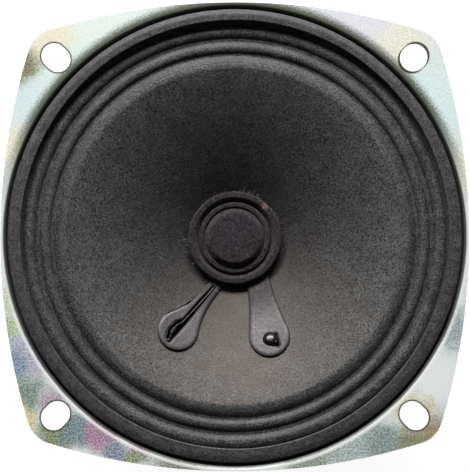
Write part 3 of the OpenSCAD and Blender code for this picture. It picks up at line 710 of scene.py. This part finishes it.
def glue(name, dark, light, gloss, cracks=()):
    """Cured glue or lacquer: glossy, with clouds and small pores, painted black shade in the cracks and
    along the foot, and painted shade towards the neck.
    """
    look = Look(name)
    pit = tuple(0.3 * c for c in dark)
    colour = look.mix(look.noise(0.7, 3, 0.6), dark, light)
    colour = look.mix(look.range(look.noise(2.2, 2, 0.5), 0.30, 0.36), pit, colour)
    rough = look.ramp(look.noise(1.4, 3), 0.3, 0.7, gloss, gloss + 0.16)
    if cracks:
        # Painted shade towards the neck, as on the cone; the glue is also rougher there.
        painted_neck_shade = look.range(look.radius(), 12.0, 21.0, 0.8, 0.0)
        colour = look.grained(look.mix(painted_neck_shade, colour, pit), look.noise(2.2, 3, 0.8), 0.35)
        rough = look.plus(rough, look.times(painted_neck_shade, 0.3))
    # Painted shade: black, with no gloss, in the cracks and along the foot.
    black = look.node("Attribute", attribute_name="painted_foot_shade").outputs["Fac"]
    for stroke in cracks:
        black = look.math("MAXIMUM", black, look.stroke(*stroke))
    colour = look.mix(black, colour, (0.002, 0.002, 0.002))
    rough = look.math("ADD", rough, look.times(black, 0.6), clamp=True)
    look.set(Metallic=black, Specular_IOR_Level=0.5, Specular_Tint=(1.0, 0.93, 0.93, 1.0))
    return look.done(colour, rough, look.bump(look.noise(1.6, 3), 0.35, 0.14))


def strokes(*paths):
    """Strokes between the points of paths, for crack() and Look.stroke(). Points are x, y and half width."""
    return [(a[:2], b[:2], a[2], b[2]) for path in paths for a, b in zip(path, path[1:])]


# Cracks in the left drop: along the wire, and round the glue that stands beside it. They are painted black
# as shade.
LEFT_CRACKS = strokes(
    (
        (-4.6, -10.8, 0.24),
        (-5.6, -12.1, 0.30),
        (-7.67, -14.47, 0.46),
        (-9.45, -16.6, 0.54),
        (-11.3, -18.92, 0.54),
        (-12.5, -20.33, 0.50),
        (-13.6, -21.63, 0.42),
        (-14.25, -22.35, 0.42),
    ),
    ((-10.9, -18.1, 0.26), (-12.77, -18.75, 0.26), (-14.2, -20.33, 0.30), (-14.65, -21.85, 0.28)),
)
# The dark line along the left drop's upper side, where it meets the cone
LEFT_FOOT = strokes(
    ((-8.0, -12.1, 0.16), (-10.16, -14.25, 0.24), (-12.77, -15.5, 0.24), (-15.2, -16.8, 0.10)),
)
# Cracks in the right drop, round the end of the lead, with its short tail. They are painted black as shade.
RIGHT_CRACKS = strokes(((8.95, -21.4, 0.24), (9.4, -23.5, 0.36)), ((8.2, -23.4, 0.16), (9.3, -23.6, 0.30)))


def metal(name, dark, light, rough, metallic=1.0):
    """Small metal piece: tarnish clouds, fine scratches and bright edges."""
    look = Look(name)
    tarnish = look.noise(0.8, 4, 0.65)
    colour = look.mix(look.range(tarnish, 0.3, 0.7), light, dark)
    colour = look.worn_edges(colour, 0.08, 0.4, tuple(min(1, 1.2 * c) for c in light))
    rough = look.ramp(tarnish, 0.3, 0.7, rough, rough + 0.2)
    return look.done(colour, rough, look.bump(look.noise(8.0, 2, 0.7), 0.25, 0.03), Metallic=metallic)


def phenolic():
    """Paper laminate: brown, with long fibres and pale sawn edges."""
    look = Look("phenolic_board")
    x, y, z = look.split(look.place)
    fibre = look.noise(4.0, 3, 0.7, at=look.join(look.times(x, 0.25), y, z))
    colour = look.mix(look.noise(0.35, 3, 0.6), (0.20, 0.085, 0.025), (0.30, 0.15, 0.055))
    colour = look.mix(look.range(fibre, 0.45, 0.8), colour, (0.38, 0.22, 0.10))
    colour = look.worn_edges(colour, 0.15, 0.5, (0.45, 0.30, 0.16))
    rough = look.ramp(fibre, 0.3, 0.7, 0.32, 0.5)
    return look.done(colour, rough, look.bump(fibre, 0.25, 0.04), Specular_IOR_Level=0.5)


# Height of one turn of the winding
WINDING_PITCH = 0.18


def wound(name):
    """Enamelled winding: turns of fine copper wire, side by side up the former."""
    look = Look(name)
    turn = look.times(look.split(look.place)["Z"], pi / WINDING_PITCH)
    turn = look.math("ABSOLUTE", look.math("SINE", turn))
    colour = look.mix(turn, (0.20, 0.06, 0.02), (0.62, 0.27, 0.11))
    rough = look.ramp(look.noise(1.5, 3), 0.3, 0.7, 0.28, 0.42)
    return look.done(colour, rough, look.bump(turn, 0.8, 0.06), Metallic=0.8)


def former_paper():
    """Bare brown paper of the coil former."""
    look = Look("former_paper")
    fibre = look.noise(3.0, 3, 0.7)
    colour = look.mix(fibre, (0.42, 0.27, 0.12), (0.62, 0.45, 0.24))
    rough = look.ramp(fibre, 0.3, 0.7, 0.6, 0.8)
    return look.done(colour, rough, look.bump(fibre, 0.3, 0.05), Specular_IOR_Level=0.3)


def finish(piece, material, *replaced, body="cone_assembly", slot=None):
    """Gives a new piece its material, its body and the CAD nodes it stands for, which it hides. The slot
    argument is not used.
    """
    piece.data.materials.clear()
    piece.data.materials.append(material)
    if body:
        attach(piece, body)
    if replaced:
        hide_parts(*replaced)
    return piece


def radial_blend(piece, inner, outer, body_in, body_out):
    """The piece bends from one body at the inner radius to the other at the outer one, all round."""
    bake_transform(piece, body_in, body_out, (inner * MM, 0, 0), (outer * MM, 0, 0))
    co = np.zeros(len(piece.data.vertices) * 3)
    piece.data.vertices.foreach_get("co", co)
    co = co.reshape(-1, 3)
    t = fade(np.hypot(co[:, 0], co[:, 1]) / MM, inner, outer)
    weights = piece.data.attributes["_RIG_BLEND"].data
    weights.foreach_set("value", (t * t * (3 - 2 * t)).astype(np.float32))


# The soft pieces


# The crest of the rim, the power of the arch in which it falls onto the edge, and the tip of the paper
FALL_R = 36.97
FALL_POWER = 2.0
TIP_R = 37.95
# Depth of the flats in the edge under the rim, and where the first one starts
FLAT_DEPTH = 0.78
FLAT_START = 39.4
# Arches of the edge: radius of the crest, its height over the rim (below it if negative), and its two feet
ARCHES = ((41.15, -0.17, 40.0, 42.5), (44.65, -0.05, 43.3, EDGE_OUT_R + 0.25))
ARCH_POWER = 2.2
# Gap that the lap leaves at the tip
LAP_GAP = 0.03


def fall_z(r):
    """Height of the rim where it falls in an arch to the first valley."""
    share = max(0.0, (r - FALL_R) / (FLAT_START - FALL_R))
    return RIM_Z - FLAT_DEPTH * share**FALL_POWER


def lap_z(r):
    """Height of the edge's top where it lies under the cone's end."""
    return fall_z(r) - LAP_GAP - (CONE_T - LAP_GAP) * (TIP_R - r) / (TIP_R - FALL_R)


def make_cone(material):
    """Cone with a bowed flank, whose rim ends in a scarf on top of the edge."""
    steps = 40
    flank_step = (CURL_R - NECK_R) / steps
    tilt = atan2(RIM_Z - cone_z(CURL_R - flank_step), flank_step)
    stations = [NECK_R + i * flank_step for i in range(1, steps)]
    flank = [(r, cone_z(r), 0) for r in stations if NECK_R + 1 < r < CURL_R - RIM_CURL]
    path = rounded_path([
        (NECK_R, NECK_Z - NECK_TUBE, 0),
        (NECK_R, NECK_Z, CONE_T + 0.1),
        *flank,
        (CURL_R, RIM_Z, RIM_CURL / 2 / tan(tilt / 2)),
        (RIM_R, RIM_Z, 0),
    ])
    path[-1] = (FALL_R, RIM_Z)
    outward = [FALL_R + (TIP_R - FALL_R) * i / 10 for i in range(1, 11)]
    fall = [(r, fall_z(r)) for r in outward]
    under = [(r, lap_z(r) + 0.02) for r in reversed(outward) if r > RIM_R - 0.1]
    outline = path + fall + under + moved(path, -CONE_T)[::-1][1:]
    uneven = ripple(0.05, (2, 3, 5), 4)

    def wobble(r, z, a):
        share = fade(r, 14, 28) * fade(r, 35, 32)
        return r, z - np.abs(uneven(a)) * share * 0.6

    piece = revolve("paper_cone", outline, wobble=wobble)
    return finish(cut(piece, lead_holes() + wire_channels()), material, "cone", slot="cone_paper")


def lead_holes():
    """Cutters for the holes of the two tinsel leads."""
    r = TINSEL_D / 2 + 0.2
    return [post(p, r, on_cone(p, -2)[2], on_cone(p, 2)[2]) for p in (LEFT_HOLE, RIGHT_HOLE)]


def wire_channels():
    """Cutters for the two coil wires, up the outside of the former."""
    at = FORMER_R + FILM + WIRE_D / 2
    r = WIRE_D / 2 + 0.2
    return [post(at * spoke(a), r, FORMER_LOW, NECK_Z + 1) for a in (LEFT_ANGLE, RIGHT_ANGLE)]


def edge_z(r):
    """Height of the edge's top at a radius."""
    seat = EDGE_T + RECESS_Z
    if r < TIP_R:
        return lap_z(r)
    if r < FLAT_START:
        return fall_z(r)
    for crest, up, inner, outer in ARCHES:
        if r <= outer:
            foot = outer if r > crest else inner
            share = min(1.0, (r - crest) / (foot - crest))
            z = RIM_Z + up - (FLAT_DEPTH + up) * share**ARCH_POWER
            return max(z, seat) if r > ARCHES[-1][0] else z
    return seat


def edge_outline():
    """Section of the rolled edge, from the lap behind the rim out to the flat on the ledge."""
    waves = np.arange(FALL_R, EDGE_OUT_R + 0.2, 0.08)
    flat = np.arange(EDGE_OUT_R + 0.5, FLAT_R, 0.6)
    stations = [*waves, *flat]
    top = [(r, edge_z(r)) for r in stations + [FLAT_R]]
    under = [(r, edge_z(r)) for r in stations[::3]]
    if under[-1][0] > FLAT_R - 0.1:
        under.pop()
    return top + moved(under + top[-1:], -EDGE_T)[::-1]


def make_edge(material):
    """Rolled edge: two low arches between flats, a little uneven all round."""
    rise = ripple(0.05, (2, 3, 7, 11), 8)
    shift = ripple(0.06, (1, 2, 5), 9)

    def wobble(r, z, a):
        share = fade(r, RIM_R + 1, RIM_R + 2.5) * fade(r, EDGE_OUT_R, EDGE_OUT_R - 1.5)
        return r + shift(a) * share, z + rise(a) * share

    piece = revolve("rolled_edge", edge_outline(), wobble=wobble, smooth_deg=60)
    finish(piece, material, "surround", body=None, slot="edge_paper")
    radial_blend(piece, RIM_R + SCARF_W + 0.2, EDGE_OUT_R - 0.2, "cone_assembly", "frame")
    return piece


# The gasket was glued in by hand: how far its bore and the whole ring sit off the middle
GASKET_LEAN = 0.35
GASKET_UP = 0.15


def make_gasket(material):
    """Fibre ring in the recess, softly rounded on its outer side."""
    low = EDGE_T + RECESS_Z
    outer = FLAT_R
    inner = outer - GASKET_W
    path = rounded_path([
        (inner, low, 0),
        (inner, GASKET_RISE - 0.05, 0.25),
        (outer - 1.2, GASKET_RISE - 0.1, 2),
        (outer, GASKET_RISE - 0.5, 0.3),
        (outer, low, 0),
    ])
    rise = ripple(0.06, (2, 3, 5, 9), 12)
    side = ripple(0.10, (2, 3, 7, 13), 13)

    def wobble(r, z, a):
        share = fade(r, outer, inner)
        r = r + (np.maximum(side(a), 0) + GASKET_LEAN * sin(a)) * share + GASKET_UP * sin(a)
        return r, z + np.minimum(rise(a), 0) * fade(z, low, low + 2)

    piece = revolve("fibre_gasket", filled(path, 0.3), wobble=wobble)
    return finish(piece, material, "gasket_ring", body="frame", slot="gasket_fibre")


# Place on the collar where its felt is rubbed
WORN_SPOT = (6.6, 6.9)


def make_collar(material):
    """Felt collar in the cone's neck, with a slot for each coil wire."""
    outer = NECK_R + COLLAR_W
    rim = NECK_Z + COLLAR_H
    path = rounded_path([
        (NECK_R, cone_z(NECK_R) + FILM, 0),
        (NECK_R, FORMER_TOP - CAP_OVERHANG, 0.2),
        (outer - 1.3, rim, 0.5),
        (outer, rim, 0.5),
        (outer, cone_z(outer) + FILM, 0),
    ])
    rise = ripple(0.10, (3, 5, 8, 13), 21)
    side = ripple(0.10, (2, 4, 7, 11), 22)

    def wobble(r, z, a):
        share = fade(z, NECK_Z + 1.5, NECK_Z + 3.5)
        return r + np.minimum(side(a), 0) * share * fade(r, NECK_R, NECK_R + 1), z + rise(a) * share

    piece = revolve("felt_collar", filled(path, 0.2), wobble=wobble, steps=240)
    slots = []
    for a in (LEFT_ANGLE, RIGHT_ANGLE):
        ends = [on_cone(spoke(a) * r, 0.1) for r in (FORMER_R, outer + 1)]
        slots.append(tube("cutter", ends, WIRE_D + 0.5, 16))
    return finish(cut(piece, slots), material, "neck_collar", slot="felt")


# Hairs of the collar: how many short ones, the radius of each, and the steps along it
HAIRS = 170
HAIR_R = 0.035
HAIR_STEPS = 5
# Where longer ones stand over the two drops: from one angle to another, and how many
LONG_HAIRS = ((240, 262, 5), (286, 302, 6))


def hair_points(rng, turn, long):
    """Points of one curled hair that leaves the collar at an angle, three round it at each step."""
    out = spoke(turn)
    start = np.array([*(NECK_R + COLLAR_W - 0.3) * out, NECK_Z + COLLAR_H - 0.6 - rng.uniform(0, 1)])
    way = np.array([*out, rng.uniform(-0.3, 0.3)]) + (*rng.uniform(-0.5, 0.5, 2), 0)
    curl = rng.uniform(-0.5, 0.5, 3)
    points = []
    for t in np.arange(HAIR_STEPS + 1) / HAIR_STEPS:
        at = start + way * long * t + curl * long * t * t
        at[2] = max(at[2] - 1.2 * t, on_cone(at, 0.8)[2])
        points += [at + HAIR_R * np.array([cos(b), sin(b), sin(b + 1)]) for b in angles(3)]
    return points


def add_hairs(piece, material):
    """Loose hairs of the felt: short ones all round the collar, and longer ones over the glue drops."""
    rng = np.random.default_rng(71)
    hairs = [(turn, rng.uniform(0.3, 1.0)) for turn in rng.uniform(0, 360, HAIRS)]
    over_glue = [turn for place in LONG_HAIRS for turn in rng.uniform(*place)]
    hairs += [(turn, rng.uniform(1.2, 2.6)) for turn in over_glue]
    verts, faces = [], []
    for turn, long in hairs:
        faces += tube_faces(len(verts), HAIR_STEPS + 1, 3)
        verts += hair_points(rng, turn, long)
    fuzz = new_mesh("hairs", verts, faces)
    piece.data.materials.append(material)
    work = bmesh.new()
    work.from_mesh(fuzz.data)
    for face in work.faces:
        face.material_index = 1
    work.from_mesh(piece.data)
    work.to_mesh(piece.data)
    work.free()
    bpy.data.objects.remove(fuzz)


def make_cap(material):
    """Felt cap with a flat crown, a groove round it and a rolled rim."""
    top = FORMER_TOP + FELT_T
    crown = top + CROWN_RISE
    groove = FORMER_R - 0.75
    rim = FORMER_R + CAP_OVERHANG
    path = rounded_path([
        (0, FORMER_TOP + CROWN_RISE, 0),
        (groove - CROWN_SLOPE, FORMER_TOP + CROWN_RISE, 0.4),
        (groove, FORMER_TOP, 0.4),
        (rim, FORMER_TOP, 0.3),
        (rim, top, 0.45),
        (groove + 0.25, top, 0.3),
        (groove, top - 0.55, 0.1),
        (groove - 0.2, top - 0.25, 0.2),
        (groove - CROWN_SLOPE, crown, 0.9),
        (0, crown + 0.1, 0),
    ])
    rise = ripple(0.06, (3, 5, 9), 31)

    def wobble(r, z, a):
        share = fade(z, FORMER_TOP + 0.6, FORMER_TOP + 1.1) * fade(r, 0, 3)
        return r, z + rise(a) * share

    piece = revolve("felt_cap", filled(path, 0.25), closed=False, wobble=wobble, steps=240)
    return finish(piece, material, "dust_cap", slot="felt")


def make_spider(material):
    """Waved cloth disc between the former and its seat in the basket."""
    spider_z = SEAT_Z + SPIDER_T / 2
    first = NECK_R + 1.6
    last = WELL_R + 0.1
    waves = 4
    lifts = [0] + [SPIDER_WAVE, -SPIDER_WAVE] * waves
    lifts[-1] = 0
    step = (last - first) / (2 * waves)
    turns = [(first + step * i, spider_z + lift) for i, lift in enumerate(lifts)]
    neck = NECK_R + SPIDER_T / 2
    top = spider_z + SPIDER_NECK_H
    line = rounded_path([(neck, top, 0), (neck, spider_z, 0.35), (first - 0.4, spider_z, 0)])
    line += wave(turns, 12) + [(last, spider_z), (SPIDER_D / 2, spider_z)]
    piece = revolve("spider_disc", ribbon(line, SPIDER_T), smooth_deg=60)
    cut(piece, wire_channels())
    finish(piece, material, "spider", body=None, slot="spider_cloth")
    radial_blend(piece, first, last, "cone_assembly", "frame")
    return piece


def wire_route(angle, hole):
    """Route of a coil wire: up the former, over the neck of the cone and out to its hole."""
    at = FORMER_R + FILM + WIRE_D / 2
    lift = WIRE_D / 2 + 0.1
    way = spoke(angle)
    out = (NECK_R + COLLAR_W + 0.5) * way
    hole = np.array(hole)
    stop = hole - unit(hole - out) * (TINSEL_D / 2 + FILM + WIRE_D / 2)
    return [
        (*at * way, FORMER_LOW),
        (*at * way, (FORMER_LOW + NECK_Z) / 2),
        (*at * way, NECK_Z - 0.6),
        (*(at + 0.1) * way, NECK_Z + 0.05),
        (*(at + 0.45) * way, cone_z(at + 0.45) + lift + 0.08),
        *(tuple(on_cone(out + t * (stop - out), lift)) for t in (0, 0.25, 0.5, 0.75, 1)),
    ]


# Places on the cone over which the left wire runs
LEFT_BENDS = (
    (-5.2, -11.6),
    (-7.12, -13.81),
    (-9.08, -15.99),
    (-11.2, -18.3),
    (-12.77, -19.4),
    (-13.86, -20.5),
)


def make_wires(material):
    """The two coil wires. The left one is bent to the bright line in its crack."""
    for name, angle, hole in (("left", LEFT_ANGLE, LEFT_HOLE), ("right", RIGHT_ANGLE, RIGHT_HOLE)):
        route = wire_route(angle, hole)
        if name == "left":
            route = route[:-4] + [tuple(on_cone(q, WIRE_D / 2 + 0.25)) for q in LEFT_BENDS] + route[-1:]
        piece = tube(f"lead_wire_{name}", smooth_route(route, 8), WIRE_D)
        finish(piece, material, f"coil_wire_{name}", slot="copper_wire")


# Blobs of solder on the wires' ends: middle, radius and height, the last a splash beside the right one
BLOBS = ((LEFT_HOLE, 0.45, 0.45), ((7.62, -22.2), 1.72, 1.0), ((8.95, -22.75), 0.4, 0.6))


def make_beads(material):
    """Solder on the wires' ends, as low uneven domes."""
    verts, faces = [], []
    rng = np.random.default_rng(41)
    rings, sides = 14, 40
    for (x, y), radius, high in BLOBS:
        faces += tube_faces(len(verts), rings + 1, sides)
        lobes = rng.uniform(-0.03, 0.03, 4)
        for i in range(rings + 1):
            share = cos(pi / 2 * i / rings)
            for a in angles(sides):
                uneven = sum(s * sin((m + 2) * a + m) for m, s in enumerate(lobes))
                r = radius * share * (1 + uneven)
                q = (x + r * cos(a), y + r * sin(a))
                verts.append(on_cone(q, FILM + 0.4 + high * (1 - share**3)))
    finish(new_mesh("wire_solder", verts, faces), material, "cone_solder_beads", slot="solder")


# Each drop's neck and round end, its half width at the neck, the radius of its end, and the angle
# at which its flank runs into the end
LEFT_DROP = ((-3.5, -9.5), (-12.35, -20.3), 1.5, 4.5, radians(30))
RIGHT_DROP = ((4.95, -8.7), (7.55, -21.6), 2.6, 4.5, radians(15))
# Least height of a drop, the height of its dome, and the share of both that a crack takes away
LEFT_RISE = (0.15, 0.5, 0.85)
RIGHT_RISE = (0.12, 0.55, 0.8)
# Points on a drop's flank and round its end, and rings from its outline in to its middle
FLANK_N = 70
END_N = 60
RINGS = 26
# Side on which the foot of a drop is dark, away from the lamp
DARK_SIDE = unit((0.45, -0.9))


def drop_rings(neck, end, neck_w, end_r, shoulder):
    """Rings of points from a drop's outline in: each a place, its way in, and its share of the dark side."""
    neck, end = np.array(neck), np.array(end)
    axis = unit(end - neck)
    across = np.array([-axis[1], axis[0]])
    turn = atan2(axis[1], axis[0])
    reach = dist(neck, end) - end_r * sin(shoulder)
    widening = end_r * cos(shoulder) - neck_w
    power = tan(shoulder) * reach / widening
    half = pi / 2 + shoulder
    shares = [i / FLANK_N for i in range(FLANK_N)]
    flank = [(neck + axis * reach * s, across * (neck_w + widening * s**power)) for s in shares]
    pairs = [(q - w, q) for q, w in flank]
    for k in range(END_N + 1):
        a = half * (2 * k / END_N - 1)
        back = max(0.0, end_r * sin(shoulder) * (abs(a) - pi / 2) / shoulder)
        way = np.array([cos(turn + a), sin(turn + a)])
        pairs.append((end + end_r * way, end - axis * back))
    pairs += [(q + w, q) for q, w in reversed(flank)]
    widths = [dist(o, p) for o, p in pairs]
    sides = [float(np.clip(unit(o - p) @ DARK_SIDE + 0.45, 0.0, 1.0)) for o, p in pairs]
    rows = list(zip(pairs, widths, sides))
    inward = [(j / RINGS) ** 1.3 for j in range(RINGS + 1)]
    return [[(o + (p - o) * u, u * w, side) for (o, p), w, side in rows] for u in inward]


def pad_faces(rows, count):
    """Faces of a pad whose top and back are rows of points, with its sides."""
    faces = []
    back = rows * count
    for j in range(rows - 1):
        for k in range(count - 1):
            a = j * count + k
            faces.append((a, a + 1, a + 1 + count, a + count))
            faces.append((back + a, back + a + count, back + a + 1 + count, back + a + 1))
    for k in range(count - 1):
        faces.append((k, back + k, back + k + 1, k + 1))
    for a in range(0, back - count, count):
        b = a + count
        faces.append((a, b, back + b, back + a))
        faces.append((b - 1, back + b - 1, back + b + count - 1, b + count - 1))
    return faces


def make_drop(side, drop, rise, cracks, material):
    """Skin of glue on the cone, lower where it is cracked, with painted shade along its foot, mostly on the
    side away from the lamp.
    """
    rings = drop_rings(*drop)
    least, dome, sink = rise
    inner = NECK_R + COLLAR_W + 0.1
    verts, dark = [], []
    for level in (1, 0):
        for q, depth, facing in (point for ring in rings for point in ring):
            r = hypot(*q)
            if r < inner:
                q = q * inner / r
            body = sqrt(1 - (1 - min(1.0, depth / 0.9)) ** 2)
            top = (least + dome * body) * (1 - sink * crack(q, cracks))
            verts.append(on_cone(q, FILM + 0.02 + top * level))
            # Painted shade along the foot, strongest on the side away from the lamp.
            dark.append(max(0.0, 1 - depth / 0.22) * facing * level)
    faces = pad_faces(len(rings), len(rings[0]))
    piece = new_mesh(f"glue_{side}", verts, faces, 50, 2e-6, dark)
    return finish(piece, material, f"glue_drop_{side}", slot="dark_glue")


def near_line(q, a, b):
    """Distance of q from the stretch a to b, and the share of the way along it."""
    a, b = np.array(a), np.array(b)
    s = float(np.clip((q - a) @ (b - a) / ((b - a) @ (b - a)), 0, 1))
    return float(np.linalg.norm(q - a - (b - a) * s)), s


def crack(q, cracks):
    """How deep in a crack the place q lies, from 0 to 1."""
    deep = 0.0
    for a, b, wide_a, wide_b in cracks:
        d, s = near_line(q, a, b)
        deep = max(deep, 1 - min(1, max(0, d - wide_a - (wide_b - wide_a) * s) / 0.35))
    return deep


def board_place(x, y, z):
    """A place on the terminal board's own axes, in the object's axes."""
    h = z + SHEET_T + 0.1
    r = BOARD_R + y * cos(WALL_SLOPE) + h * sin(WALL_SLOPE)
    return np.array([x, -r, BOARD_Z + y * sin(WALL_SLOPE) - h * cos(WALL_SLOPE)])


def tinsel_route(hole, x):
    """Route of a tinsel lead: from its hole in the cone, in a slack bow, to the end of a lug."""
    top = on_cone(hole, WIRE_D + 0.1 + FILM)
    end = board_place(x, LUG_TOP, BOARD_T)
    inward = board_place(x, LUG_TOP, BOARD_T - 1.6)
    above = board_place(x * 1.02, LUG_TOP - 2.4, -1.4)
    drop = top - (0, 0, 2.4)
    span = above - drop
    return [
        top,
        top - (0, 0, 1),
        drop,
        drop + 0.12 * span - (0, 0, 1.7),
        drop + 0.32 * span - (0, 0, 2.9),
        drop + 0.54 * span - (0, 0, 2.9),
        drop + 0.78 * span - (0, 0, 1.5),
        above,
        (above + inward) / 2 + (0, -0.1, 0.3),
        inward,
        end,
    ]


# Strands of a tinsel lead: their number and sides, how far each is off the middle, its radius, and the
# length of one twist
STRANDS = 6
STRAND_SIDES = 8
STRAND_OFF = 0.27
STRAND_R = 0.17
TWIST = 3.4


def make_tinsel(side, hole, x, material):
    """Lead of strands twisted round one another, from the cone to its lug."""
    route = smooth_route(tinsel_route(hole, x), 16)
    frames = frames_along(route)
    steps = [dist(a, b) for a, b in zip(route, route[1:])]
    lengths = np.concatenate([[0], np.cumsum(steps)])
    verts, faces = [], []
    for start in angles(STRANDS):
        faces += tube_faces(len(verts), len(route), STRAND_SIDES)
        for q, (u, v), length in zip(route, frames, lengths):
            a = start + 2 * pi * length / TWIST
            centre = q + STRAND_OFF * (cos(a) * u + sin(a) * v)
            verts += circle(centre, u, v, STRAND_R, STRAND_SIDES)
    piece = new_mesh(f"tinsel_{side}", verts, faces)
    finish(piece, material, f"tinsel_lead_{side}", body=None, slot="tinsel")
    top, end = route[0], route[-1]
    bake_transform(piece, "cone_assembly", "frame", tuple((top - (0, 0, 2.2)) * MM), tuple(end * MM))


# CAD nodes that stay, with their materials


def paint(material, *names):
    """Gives CAD nodes a material and smooth shading, and leaves their shape as it is."""
    for name in names:
        obj = nodes[name]
        obj.data.shade_smooth()
        obj.data.set_sharp_from_angle(angle=radians(30))
        if obj.material_slots:
            for s in obj.material_slots:
                s.material = material
        else:
            obj.data.materials.append(material)


# Lacquer of the glue drops: its darker and lighter colour, and its roughness
LACQUER = ((0.050, 0.045, 0.046), (0.068, 0.062, 0.064), 0.40)


def make_pieces():
    """Every piece with its material: the new ones first, then the CAD nodes that stay."""
    enamel = metal("lacquered_wire", (0.006, 0.006, 0.006), (0.02, 0.02, 0.02), 0.26, metallic=0.0)
    solder = metal("solder_grey", (0.30, 0.30, 0.30), (0.62, 0.62, 0.62), 0.30)
    brass = metal("tinned_brass", (0.42, 0.40, 0.33), (0.66, 0.65, 0.60), 0.30)
    tinsel = metal("tinsel_braid", (0.34, 0.17, 0.09), (0.72, 0.42, 0.26), 0.30)
    left_glue = glue("left_lacquer", *LACQUER, LEFT_CRACKS + LEFT_FOOT)
    right_glue = glue("right_lacquer", *LACQUER, RIGHT_CRACKS)
    black = metal("black_solder", (0.002, 0.002, 0.002), (0.006, 0.006, 0.006), 0.17, metallic=0.0)
    resin = glue("amber_resin", (0.20, 0.10, 0.02), (0.38, 0.22, 0.06), 0.26)
    steel = bright_steel()
    make_cone(cone_paper())
    make_edge(edge_paper())
    make_gasket(gasket_fibre())
    collar = make_collar(felt("collar_felt", (0.007, 0.006, 0.006), (0.054, 0.046, 0.049), WORN_SPOT))
    add_hairs(collar, felt("pale_hair", (0.10, 0.09, 0.09), (0.24, 0.22, 0.22)))
    make_cap(felt("cap_felt", (0.007, 0.005, 0.006), (0.053, 0.043, 0.051)))
    make_spider(spider_cloth())
    make_wires(enamel)
    make_beads(black)
    make_drop("left", LEFT_DROP, LEFT_RISE, LEFT_CRACKS, left_glue)
    make_drop("right", RIGHT_DROP, RIGHT_RISE, RIGHT_CRACKS, right_glue)
    make_tinsel("left", LEFT_HOLE, -LUG_X, tinsel)
    make_tinsel("right", RIGHT_HOLE, LUG_X, tinsel)
    paint(zinc(), "basket")
    paint(steel, "top_plate", "back_plate", "pole_piece", "plate_rivets")
    paint(ferrite(), "magnet")
    paint(phenolic(), "terminal_board")
    paint(brass, "terminal_lug_left", "terminal_lug_right", "lug_eyelets", "board_rivet")
    paint(solder, "lug_solder")
    paint(resin, "cone_neck_glue", "spider_neck_glue")
    paint(former_paper(), "voice_coil_former")
    paint(wound("coil_winding"), "voice_coil_winding")


# Floor, lamps, world and camera


# Floor, in millimetres: its flat and the curl round it, and the white that is seen on it
FLOOR_R = 2200
FLOOR_CURL = 800
FLOOR_WHITE = 0.88


def pale_floor():
    """Grey paper that a camera, gloss and glass see as white, and that keeps the object's shadow."""
    look = Look("pale_floor", "BsdfDiffuse")
    look.set(Color=(0.45, 0.45, 0.45))
    path = look.node("LightPath").outputs
    seen = look.math("MAXIMUM", path["Is Camera Ray"], path["Is Glossy Ray"])
    seen = look.math("MAXIMUM", seen, path["Is Transmission Ray"])
    glow = look.node("Emission", {"Strength": look.times(seen, FLOOR_WHITE)}).outputs[0]
    both = look.node("AddShader", {0: look.shader.outputs[0], 1: glow}).outputs[0]
    look.put(both, look.surface)
    return look.material


def make_floor():
    """Pale floor that curls up into a low backdrop all round."""
    curl = arc((FLOOR_R, FLOOR_CURL), FLOOR_CURL, -pi / 2, -pi / 10, 12)
    profile = [(r, FLOOR_Z - 0.2 + z) for r, z in [(0, 0), *curl]]
    floor = revolve("floor", profile, closed=False, steps=48)
    floor.data.materials.append(pale_floor())


# Strength of the sky
SKY = 0.055


def make_world():
    """Dim pale sky."""
    world = bpy.data.worlds.new("studio")
    bpy.context.scene.world = world
    world.use_nodes = True
    sky = world.node_tree.nodes["Background"]
    sky.inputs["Color"].default_value = (0.94, 0.98, 1.0, 1)
    sky.inputs["Strength"].default_value = SKY


# The key lamp stands beyond the far side, as in the photo: distance, turn, elevation, size and power
KEY_AT = 0.9
KEY_TURN = 97
KEY_RISE = 30
KEY_SIZE = (0.8, 0.25)
KEY_POWER = 17.3
# Low strips that light the back and sides from under the flange: distance, turns, height, size and power
FILL_AT = 0.8
FILL_TURNS = (200, 270, 340)
FILL_Z = -0.02
FILL_SIZE = (0.7, 0.03)
FILL_POWER = 1.8


def make_lamp(name, distance, turn, height, size, power):
    """Lamp at a distance, a turn and a height, that faces the middle of the flange."""
    place = (*distance * spoke(turn), height)
    data = bpy.data.lights.new(name, "AREA")
    data.shape = "RECTANGLE"
    data.size, data.size_y = size
    data.energy = power
    lamp = new_object(name, data)
    lamp.location = place
    lamp.rotation_euler = Vector(place).to_track_quat("Z", "Y").to_euler()


def make_lamps():
    """The key lamp and the low strips."""
    rise = radians(KEY_RISE)
    make_lamp("key", KEY_AT * cos(rise), KEY_TURN, KEY_AT * sin(rise), KEY_SIZE, KEY_POWER)
    for turn in FILL_TURNS:
        make_lamp(f"fill_{turn}", FILL_AT, turn, FILL_Z, FILL_SIZE, FILL_POWER)


# Distance of the camera from the flange, how far it leans to the near side, the middle of the picture on
# the flange, and the height that it sees there, in metres
CAMERA_AT = 1.0
CAMERA_LEAN = radians(1.8)
PIXEL = 102.0 / 469.4 * MM
AIM = (0.2 * PIXEL, 0.4 * PIXEL, 0.0)
SEEN_H = 472 * PIXEL


def make_camera():
    """Camera in front of the flange that sees the photograph's frame."""
    data = bpy.data.cameras.new("camera")
    data.sensor_width = 36.0
    data.lens = data.sensor_width * CAMERA_AT / SEEN_H
    camera = new_object("camera", data)
    lean = Vector((0, -sin(CAMERA_LEAN), cos(CAMERA_LEAN)))
    camera.location = Vector(AIM) + CAMERA_AT * lean
    camera.rotation_euler = (CAMERA_LEAN, 0, 0)
    data.clip_start, data.clip_end = 0.05, 10
    bpy.context.scene.camera = camera


make_camera()
make_pieces()
make_floor()
make_world()
make_lamps()
bpy.context.scene.view_settings.view_transform = "Standard"
